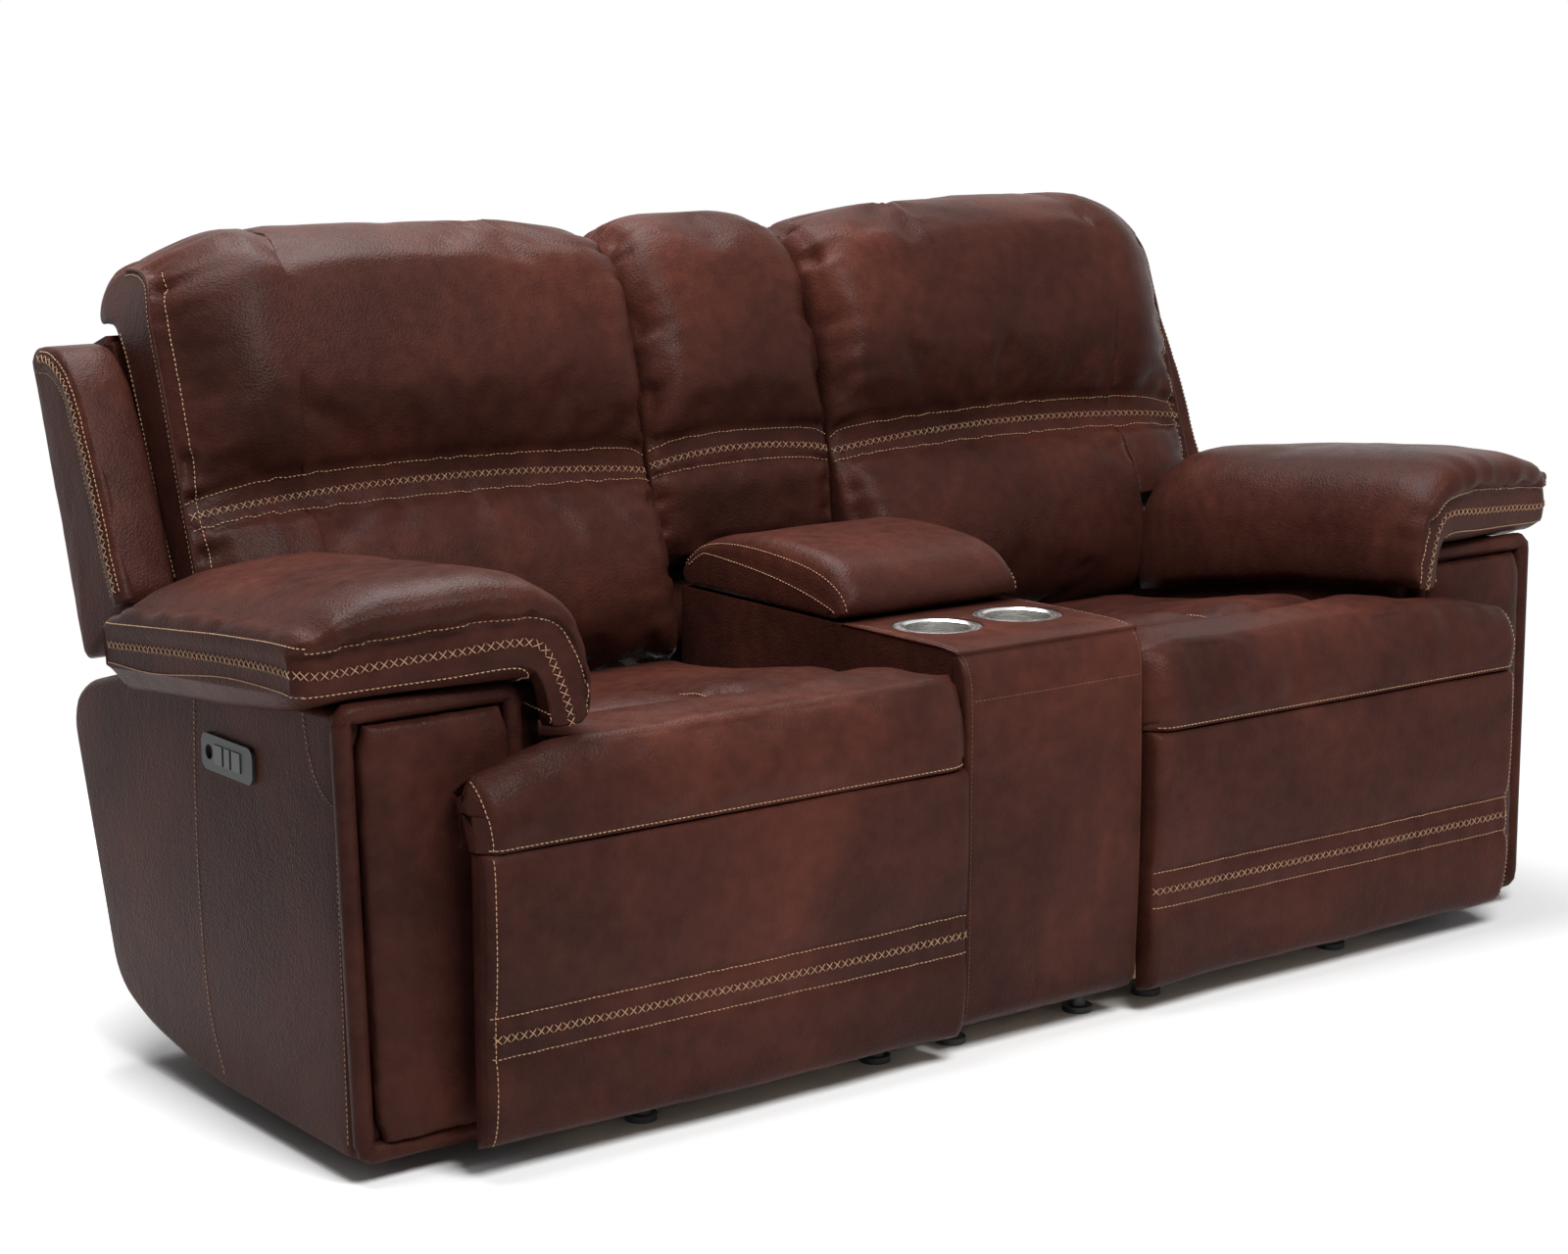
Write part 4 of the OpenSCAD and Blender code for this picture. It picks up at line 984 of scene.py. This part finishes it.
ARM_OUTLINE = [
    (-392, 28), (-45, 32), (120, 60), (207, 96), (306, 416),
    (296, 452), (262, 476), (150, 506), (0, 532), (-380, 548),
]
ARM_TOP_Y = [-400.0, -380.0, 0.0, 150.0]
ARM_TOP_Z = [548.0, 548.0, 532.0, 506.0]
ARM_SEAMS = (
    [(-41, 506), (-41, 288), (-55, 135), (-86, 52)],
    [(-305, 542), (-314, 505), (-332, 465), (-360, 443), (-394, 433)],
)


def arm(label, side):
    radii = [14, 60, 60, 60, 30, 30, 30, 60, 60, 14]
    outline = round_outline(ARM_OUTLINE, radii)
    body = slab("arm_box_" + label, outline, 716.5, 985.5, 12, (0, 3), side, 12)
    dress(body, hide, "frame", ("arm_" + label,))

    def front_y(z):
        return ARM_FRONT + (z - 27) / 521 * 12

    corners = [(762, 38), (973, 38), (983, 545), (762, 545)]
    flat = round_outline(corners, 10, 8)
    path = upright(flat[:, 0], front_y(flat[:, 1]) - 5, flat[:, 1])
    roll = tube("arm_roll_" + label, away(path, side), 12.5)
    dress(roll, hide, "frame")

    def at(u, v):
        z = lerp(50.0, 530.0, (v + 1) / 2)
        corner = 1 - 0.1 * smooth(0.86, 1, np.abs(v)) * np.abs(u) ** 3
        x = lerp(773.0, lerp(958.0, 968.0, (v + 1) / 2), (u + 1) / 2)
        return upright(866 + (x - 866) * corner, front_y(z) - 2, z)

    def up(u, v):
        out = 26 * crown(u, 4.5) * crown(v, 9)
        return np.stack([0 * out, -out, 0 * out], -1)

    def down(u, v):
        out = 0.8 * crown(u, 8) * crown(v, 8)
        return np.stack([0 * out, -out, 0 * out], -1)

    panel = Skin("arm_panel_" + label, at, up, down, 40, 60, side)
    n = Noise(130 + side)
    waves = 1.1 * n(panel.vert_u * 2, panel.vert_v * 4) + edge_gathers(panel, 12, 0.9, 0.1, 2, 12)
    ruffle(panel.obj, np.where(panel.is_upper, waves, 0))
    dress(panel.obj, hide, "frame", ("arm_front_panel_" + label,))
    runs = []
    z = np.linspace(535, 45, 130)
    for flat in [curve(seam, 110) for seam in ARM_SEAMS] + [np.column_stack([front_y(z) + 9, z])]:
        runs += line_run(*rays(body, upright(990.0, *flat.T), SIDEWAYS, side))
    threads("arm_seams_" + label, runs, FINE_LINE, "frame")


# The arm pad drapes over the arm: its stations run from the outer seam over the top and down inside

PAD_U = [
    (1041, 618), (1020, 619.5), (985, 621), (930, 626), (860, 630), (800, 633), (768, 631),
    (742, 622), (722, 602), (709, 572), (702, 545), (700, 524), (704, 510),
]
PAD_W = [
    (1038, 573), (1016, 574), (984, 575), (930, 577), (860, 580), (805, 583), (785, 584),
    (768, 580), (756, 570), (748, 553), (744, 535), (742, 520), (738, 508),
]
PAD_V = [
    (1037, 570), (1015, 549), (986, 545.5), (930, 549.5), (860, 549.5), (805, 549.5), (770, 549.5),
    (738, 549.5), (719, 546), (714.5, 536), (714.3, 524), (714.3, 515), (714, 509),
]
PAD_BULGE = [0, 27, 47, 57, 58, 56, 50, 40, 28, 20, 14, 8, 0]
PAD_TOP = [
    (0, 0), (-15, 9), (-23, 24), (-17, 41), (4, 52), (42, 56.8), (100, 58), (200, 58), (300, 58), (370, 58),
    (436, 55), (472, 45), (492, 27), (502, 11), (500, 0),
]


# The pad's seams, each from the rear or outside: the upper line, the crosses and the lower line
PAD_SIDE = (
    [(78, 585), (-89, 603), (-214, 616), (-339, 626), (-396, 627)],
    [(79, 558), (-136, 580), (-297, 593), (-385, 596)],
    [(82, 536), (-42, 542), (-211, 566), (-336, 572), (-384, 571)],
)
PAD_FRONT = (
    [(1030, 622), (1012, 622), (894, 634), (782, 639), (734, 627), (710, 590), (698, 556), (697, 519)],
    [
        (1032, 595), (1001, 594), (933, 600), (856, 605), (778, 610), (750, 600), (735, 572), (723, 537),
        (718, 512),
    ],
    [(1028, 570), (994, 571), (934, 574), (857, 577), (792, 581), (766, 574), (749, 546), (740, 513)],
)


def pad_low(y):
    """Height of the lower edge of the pad's inner skirt."""
    return np.interp(y, [-440, -400, -377, -246, -206, -25, 107], [509, 506, 502, 489, 488, 457, 430])


def arm_pad(label, side):
    k = np.unique(np.concatenate([[0, 0.04, 0.12, 0.25, 0.45, 0.7], np.arange(1, 12.01, 0.2)]))
    pu, pw, pv = spline(PAD_U, k), spline(PAD_W, k), spline(PAD_V, k)
    bulge = np.interp(k, np.arange(13), PAD_BULGE)
    bulge = np.where(k < 1, 27 * swell(k), bulge)
    way = np.gradient(pu, k, axis=0)
    out = unit(np.stack([way[:, 1], -way[:, 0]], 1))

    def lag(y):
        return -39 * np.clip((y + 400) / 478, 0, 1.1) ** 1.25

    def fall(z, y, kk):
        """Lowers a front height to its height at y; the inner side's skirt is stretched to its own edge."""
        plain = z + lag(y)
        low, high = pad_low(y), 586 + lag(y)
        skirt = lerp(low, high, (z - 509) / 77.0)
        return np.where(kk > 5.5, np.where(z < 586, skirt, plain), plain)

    def front_plane(x):
        return -385 - 58 * (1037 - x) / 329 + 15 * (1 - np.clip((1041 - x) / 18, 0, 1)) ** 2

    def strip(a, b, where, bow):
        """Points down the pad's front or rear end, between its upper and its under skin."""
        return lerp(a[None], b[None], where[:, None]) + [0, 1, 0] * (bow * np.sin(math.pi * where))[:, None]

    count = 60
    tp = even(PAD_TOP, count)
    top = spline(PAD_TOP, tp)
    box = np.array([0.5, 0.34, 0.2, 0.08])
    rings = []
    for i, kk in enumerate(k):
        yf = front_plane(pu[i, 0])
        rear_y = lerp(84.0, 120.0, smooth(2.0, 6.5, kk))
        long = rear_y - yf
        a = np.where(top[:, 0] < 100, top[:, 0], lerp(100, long - 130, (top[:, 0] - 100) / 270))
        a = np.where(top[:, 0] > 370, top[:, 0] + long - 500, a)
        scale = bulge[i] / 58
        a = np.where(a < 0, a * scale, np.where(a > long, long + (a - long) * scale, a))
        y = yf + a
        h = top[:, 1] * scale
        upper = upright(pu[i, 0] + out[i, 0] * h, y, fall(pu[i, 1], y, kk) + out[i, 1] * h)
        wf = front_plane(pw[i, 0])
        run = rear_y + 2 - wf
        b = run * (0.5 - 0.5 * np.cos(np.linspace(0, math.pi, count)))
        by = wf + b
        rest_z = np.interp(by, ARM_TOP_Y, ARM_TOP_Z) + 1.6
        vz_top = rest_z + pv[i, 1] - 549.5
        vz_skirt = lerp(pad_low(by), rest_z - 3.5, (pv[i, 1] - 509) / 37.0)
        vz_out = pv[i, 1] + lag(by) - 9 * smooth(-400, -150, by) * math.exp(-((kk - 1) / 0.7) ** 2)
        vz = np.where(kk > 7.9, vz_skirt, vz_top)
        vz = lerp(vz_out, vz, smooth(1.2, 2.2, kk))
        v = upright(pv[i, 0], by, vz)
        w = upright(pw[i, 0], by, fall(pw[i, 1], by, kk))
        if kk > 5.5:
            w = np.where((b > run / 2)[:, None], v + [0, 0, 2], w)
        soft = np.interp(b, [0, 6, 14, 30, 50, 80], [0, 0.33, 0.52, 0.62, 0.85, 1])
        tight = smooth(24, 42, b)
        q = lerp(soft, tight, smooth(6.6, 8.2, kk)) * swell((run - b) / 26)
        under = lerp(w, v, q[:, None])
        front = strip(upper[0], under[0], box, -3.0)
        front_low = strip(upper[0], under[0], 1 - box[1:], -3.0)
        rear = strip(upper[-1], under[-1], box[::-1], 3.0)
        rear_low = strip(upper[-1], under[-1], 1 - box[:0:-1], 0.0)
        rings.append(np.concatenate([front, upper, rear, rear_low[::-1], under[::-1], front_low[::-1]]))
    loft = Loft("arm_pad_soft_" + label, rings, side, (2.5, 0.0))
    place = np.tile(np.arange(loft.m), (len(k), 1))
    on_top = (place >= 4) & (place < 4 + count)
    j = np.clip(place - 4, 0, count - 1)
    along = np.concatenate([[0], np.cumsum(np.linalg.norm(np.diff(top, axis=0), axis=1))])
    from_front, from_rear = along[j], along[-1] - along[j]
    walk_k = np.concatenate([[0], np.cumsum(np.linalg.norm(np.diff(pu, axis=0), axis=1))])[:, None]
    from_out, from_in = walk_k + 0 * j, walk_k[-1] - walk_k + 0 * j
    near = np.minimum(np.minimum(from_front, from_rear), np.minimum(from_out, from_in))
    held = np.where(on_top, 1 - smooth(2, 34, near), 1.0)
    inflate(loft.obj, loft.spread(held, 1.0), 1.2, 7)
    n = Noise(170 + side)
    folds = -11 * np.exp(-from_front / 46) * np.maximum(-0.25, n(walk_k / 15 + 3, from_front / 80 + 4))
    folds = folds - 7.5 * np.exp(-from_out / 34) * np.maximum(-0.25, n(from_front / 17 + 9, from_out / 80))
    folds = folds + 2.4 * n(walk_k / 130 + 9, from_front / 120 + 1) + 1.2 * n(walk_k / 42, from_front / 46 + 6)
    ruffle(loft.obj, loft.spread(np.where(on_top, folds * smooth(0, 12, near), 0.0)))
    dress(loft.obj, hide, "frame", ("arm_pad_" + label,))
    lines, crosses = [], []
    for toward, seams in ((SIDEWAYS, PAD_SIDE), (FRONT, PAD_FRONT)):
        for seam, run, into in zip(seams, (line_run, cross_run, line_run), (lines, crosses, lines)):
            a, z = curve(seam, 200).T
            spots = upright(1060.0, a, z) if toward is SIDEWAYS else upright(a, -520.0, z)
            into += run(*rays(loft.obj, spots, toward, side))
    threads("pad_lines_" + label, lines, LINE, "frame")
    threads("pad_crosses_" + label, crosses, CROSS, "frame")


# Wings beside the head cushions

WING_OUTLINE = [
    (-22, 262), (-16, 384), (-8, 473), (4, 545), (38, 594), (90, 613), (123, 606), (123, 196), (-16, 250),
]
WING_ROLL = [(-8, 252), (0, 320), (2, 384), (9, 445), (18, 505), (32, 548), (62, 580), (104, 594)]


def wing(label, side):
    flat = round_outline(WING_OUTLINE, [16, 60, 60, 60, 40, 20, 18, 26, 16], 12)
    world = leaning(0, flat[:, 0], flat[:, 1])[:, 1:]
    body = slab("wing_soft_" + label, world, 866.4, 945.0, 9, (0, 2), side)
    n = Noise(200 + side)
    co = coords(body)
    ruffle(body, 1.0 * n(co[:, 1] * 0.02, co[:, 2] * 0.012) + 0.4 * n(co[:, 1] * 0.06, co[:, 2] * 0.05 + 9))
    dress(body, hide, "back_" + label, ("wing_" + label,))
    strip = curve(WING_ROLL, 90)
    path = leaning(936.5, strip[:, 0], strip[:, 1])
    roll = tube("wing_roll_" + label, away(path, side), 19.0, closed=False, sides=20, flat=13.0)
    co = coords(roll)
    ruffle(roll, 0.7 * n(co[:, 1] * 0.07 + 40, co[:, 2] * 0.06 + 9))
    dress(roll, hide, "back_" + label)
    lines, crosses = [], []
    for shift, run, into in ((-13.5, line_run, lines), (-5, cross_run, crosses), (12.5, line_run, lines)):
        spots = strip + inward(strip) * shift
        into += run(*rays(roll, leaning(990, *spots.T)[3:-3], SIDEWAYS, side))
    threads("wing_lines_" + label, lines, LINE, "back_" + label)
    threads("wing_crosses_" + label, crosses, CROSS, "back_" + label)


# Console: one padded cover over the deck and down the front, and the thick lid

DECK_FRONT = [
    ((-223, 527), (-223, 526.4)), ((-300, 529), (-300, 527)), ((-380, 529.6), (-380, 527.4)),
    ((-425, 528.6), (-424, 527)), ((-449, 523), (-447, 522)), ((-463, 508), (-457, 508)),
    ((-470, 486), (-462, 486)), ((-472, 462), (-463, 462)), ((-473, 420), (-463, 420)),
    ((-474, 320), (-463, 320)), ((-474, 220), (-463, 220)), ((-472, 120), (-462, 120)),
    ((-468, 60), (-459, 60)), ((-455, 42), (-454, 43)),
]
DECK_REAR = [
    ((-223, 527), (-223, 526.4)), ((-226, 525.4), (-226, 525.3)), ((-340, 525.3), (-340, 525.3)),
    ((-446, 525.3), (-446, 525.3)), ((-448, 516), (-448, 516)), ((-443, 500), (-443, 500)),
    ((-442, 300), (-442, 300)), ((-442, 60), (-442, 60)), ((-455, 42), (-454, 43)),
]


# The middles of the two openings for the cup holders, and their radius
CUPS = ((-68.0, -314.0, 527.0), (68.0, -314.0, 527.0))
CUP_CUT = 59.6


def console():
    half = 151.0
    xs = places(-half, half, 12, 12, 30, 7)
    n = Noise(240)

    def weight(x, t, face):
        b = swell((half - np.abs(x)) / 12)
        return b, b

    def shift(x, y, z):
        return x, y - 1.2 * n(x / 90, z / 110 + 3) * (y < -455), z

    rings, tf = profile_rings(DECK_FRONT, DECK_REAR, xs, 90, weight, upright, shift)
    loft = Loft("console_cover", rings, 1, (0.5, 0.5), 4)
    rear, low, bend = ring_places(tf, 0.3, 12.8, 6.9)
    lines = []
    for station in (5.6, len(xs) - 6.6):
        lines += line_run(*loft.sample(np.full(260, station), np.linspace(rear, low, 260)))
    lines += line_run(*loft.sample(np.linspace(6, len(xs) - 7, 90), bend))
    for x, y, z in CUPS:
        place = (x * MM, y * MM, z * MM)
        bpy.ops.mesh.primitive_cylinder_add(vertices=72, radius=CUP_CUT * MM, depth=0.03, location=place)
        cutter = bpy.context.object
        mod = loft.obj.modifiers.new("cut", "BOOLEAN")
        mod.object = cutter
        mod.solver = "EXACT"
        done = loft.obj.evaluated_get(bpy.context.evaluated_depsgraph_get())
        mesh = bpy.data.meshes.new_from_object(done)
        loft.obj.modifiers.remove(mod)
        loft.obj.data = mesh
        bpy.data.objects.remove(cutter)
    dress(loft.obj, hide, "frame", ("console_front_panel",))
    threads("console_lines", lines, LINE, "frame")


LID_TOP = [
    ((-206, 530), (-204, 530)), ((-222, 534), (-216, 536)), ((-229, 545), (-214, 541)),
    ((-228, 560), (-205, 545)),
    ((-214, 580), (-192, 549)), ((-188, 597), (-160, 557)), ((-140, 608), (-130, 564)),
    ((-80, 613), (-80, 571)), ((-20, 614), (-20, 577)), ((40, 608), (35, 581)), ((88, 596), (75, 580)),
    ((115, 582), (98, 574)), ((133, 565), (122, 559)), ((139, 552), (136, 546)), ((130, 540), (130, 535)),
]
LID_UNDER = [
    ((-206, 530), (-204, 530)), ((-196, 530), (-196, 530)), ((-186, 530), (-186, 530)),
    ((-184, 539.4), (-180, 530)), ((-176, 539.6), (-172, 530)), ((0, 539.6), (0, 530)),
    ((120, 539.6), (110, 531)), ((130, 540), (130, 535)),
]
LID_SEAM = [(-205, 537), (-192, 543), (-130, 558), (-45, 570), (70, 578), (96, 573), (120, 558)]


def lid():
    half = 150.0
    xs = np.unique(np.concatenate([places(-half, half, 34, 34, 22, 9), [-121.5, -119.5, 119.5, 121.5]]))

    def weight(x, t, face):
        b = swell((half - np.abs(x)) / 34)
        if face:
            k = 1 - smooth(119.0, 122.0, np.abs(x))
            return k + 0 * t, k + 0 * t
        return b + 0 * t, b + 0 * t

    rings, tf = profile_rings(LID_TOP, LID_UNDER, xs, 70, weight, upright)
    loft = Loft("lid_pad", rings, 1, (2.0, 2.0))
    x = xs[:, None]
    t, front = loft.front(tf)
    to_end = half - np.abs(x)
    n = Noise(260)
    folds = 1.6 * n(x / 80, t / 2.6) - 1.6 * np.exp(-to_end / 20) * np.maximum(-0.2, n(t * 1.6, to_end / 70))
    ruffle(loft.obj, loft.spread(np.where(front & (t > 1), folds * smooth(0, 8, to_end), 0.0)))
    dress(loft.obj, hide, "console_lid", ("console_lid_pad",))
    along = np.linspace(*ring_places(tf, 1.6, 12.8), 200)
    seam = upright(175.0, *curve(LID_SEAM, 150).T)
    runs = []
    for side, station in ((-1, 3.4), (1, len(xs) - 4.4)):
        runs += line_run(*loft.sample(np.full(200, station), along))
        runs += line_run(*rays(loft.obj, seam, SIDEWAYS, side))
    threads("lid_lines", runs, FINE_LINE, "console_lid")


for label, side in SIDES:
    back_cushion(label, side)
    seat(label, side)
    footrest(label, side)
    arm(label, side)
    arm_pad(label, side)
    wing(label, side)
middle_cushion()
console()
lid()


# Finishes of the CAD pieces that stay as they are. All others carry leather

FINISHES = (
    (black, "feet control_bezel motor"),
    (key_black, "home_key recline_key head_key"),
    (stainless, "cup_holders"),
    (timber, "front_cross_rail rear_cross_rail seat_frame footrest_board"),
    (webbing, "seat_webbing"),
    (dark_steel, "mechanism_plates drive_block headrest_bracket crank_links push_links"),
)
finish_of = {name: material for material, names in FINISHES for name in names.split()}
for name, obj in frame["nodes"].items():
    base = name.replace("_left", "").replace("_right", "")
    obj.data.materials.clear()
    obj.data.materials.append(finish_of.get(base, hide))


# Floor, light and camera, in metres

def combine(tree, kind, inputs, **settings):
    """A node with some inputs linked by number. Gives its first output."""
    n = add(tree, kind, **settings)
    for k, output in inputs.items():
        tree.links.new(output, n.inputs[k])
    return n.outputs[0]


def seen_rays(tree):
    """1 for the rays that show the background: the camera's own, and those by mirrors and glass."""
    path = tree.nodes.new("ShaderNodeLightPath")
    total = path.outputs["Is Camera Ray"]
    for name in ("Is Glossy Ray", "Is Transmission Ray"):
        total = combine(tree, "ShaderNodeMath", {0: total, 1: path.outputs[name]}, operation="MAXIMUM")
    return total


def floor_material():
    """A plain pale ground that keeps the shadow near the sofa and is seen as white further off."""
    mat = bpy.data.materials.new("floor_white")
    mat.use_nodes = True
    tree = mat.node_tree
    shader = tree.nodes["Principled BSDF"]
    shader.inputs["Base Color"].default_value = (0.9, 0.9, 0.9, 1)
    shader.inputs["Roughness"].default_value = 0.9
    shader.inputs["Specular IOR Level"].default_value = 0.1
    place = tree.nodes.new("ShaderNodeNewGeometry").outputs["Position"]
    reach = tree.nodes.new("ShaderNodeVectorMath")
    reach.operation = "LENGTH"
    tree.links.new(place, reach.inputs[0])
    mask = add(tree, "ShaderNodeMapRange", interpolation_type="SMOOTHSTEP")
    mask.inputs["From Min"].default_value = 0.95
    mask.inputs["From Max"].default_value = 1.9
    feed(tree, mask, Value=reach.outputs["Value"])
    both = {0: seen_rays(tree), 1: mask.outputs["Result"]}
    far = combine(tree, "ShaderNodeMath", both, operation="MULTIPLY")
    glow = tree.nodes.new("ShaderNodeEmission")
    glow.inputs["Color"].default_value = (1, 1, 1, 1)
    shaders = {0: far, 1: shader.outputs["BSDF"], 2: glow.outputs["Emission"]}
    feed(tree, tree.nodes["Material Output"], Surface=combine(tree, "ShaderNodeMixShader", shaders))
    return mat


def floor():
    r = 9.0
    mesh = bpy.data.meshes.new("floor")
    mesh.from_pydata([(-r, -r, 0), (r, -r, 0), (r, r, 0), (-r, r, 0)], [], [(0, 1, 2, 3)])
    obj = bpy.data.objects.new("floor", mesh)
    bpy.context.scene.collection.objects.link(obj)
    obj.data.materials.append(floor_material())


def lamp(name, place, target, size, power):
    light = bpy.data.lights.new(name, "AREA")
    light.shape = "RECTANGLE"
    light.size, light.size_y = size
    light.energy = power
    obj = bpy.data.objects.new(name, light)
    bpy.context.scene.collection.objects.link(obj)
    obj.location = place
    obj.rotation_euler = (Vector(target) - Vector(place)).to_track_quat("-Z", "Y").to_euler()


def world():
    w = bpy.data.worlds.new("studio")
    bpy.context.scene.world = w
    w.use_nodes = True
    tree = w.node_tree
    ground = tree.nodes["Background"]
    ground.inputs["Color"].default_value = (1, 1, 1, 1)
    ground.inputs["Strength"].default_value = 0.13
    seen = tree.nodes.new("ShaderNodeBackground")
    seen.inputs["Color"].default_value = (1, 1, 1, 1)
    seen.inputs["Strength"].default_value = 1.0
    shaders = {0: seen_rays(tree), 1: ground.outputs["Background"], 2: seen.outputs["Background"]}
    feed(tree, tree.nodes["World Output"], Surface=combine(tree, "ShaderNodeMixShader", shaders))


# The fitted camera: its focal length and the picture's width in pixels, and its sensor in millimetres
FOCAL_PX, WIDTH_PX, SENSOR = 3258, 1600, 36


def camera():
    cam = bpy.data.cameras.new("camera")
    cam.lens = FOCAL_PX / WIDTH_PX * SENSOR
    cam.sensor_width = SENSOR
    obj = bpy.data.objects.new("camera", cam)
    bpy.context.scene.collection.objects.link(obj)
    place, target = Vector((-2.665, -3.411, 1.304)), Vector((0, 0.103, 0.455))
    obj.location = place
    obj.rotation_euler = (target - place).to_track_quat("-Z", "Y").to_euler()
    bpy.context.scene.camera = obj


floor()
world()
lamp("key", (-0.6, -2.9, 3.4), (-0.2, -0.2, 0.6), (1.8, 1.4), 200)
lamp("fill", (2.6, -3.2, 1.6), (0, 0, 0.5), (2.0, 1.6), 8)
lamp("top", (-0.4, 0.6, 3.2), (0, 0, 0.5), (3.2, 1.8), 220)
camera()
bpy.context.scene.view_settings.view_transform = "Standard"
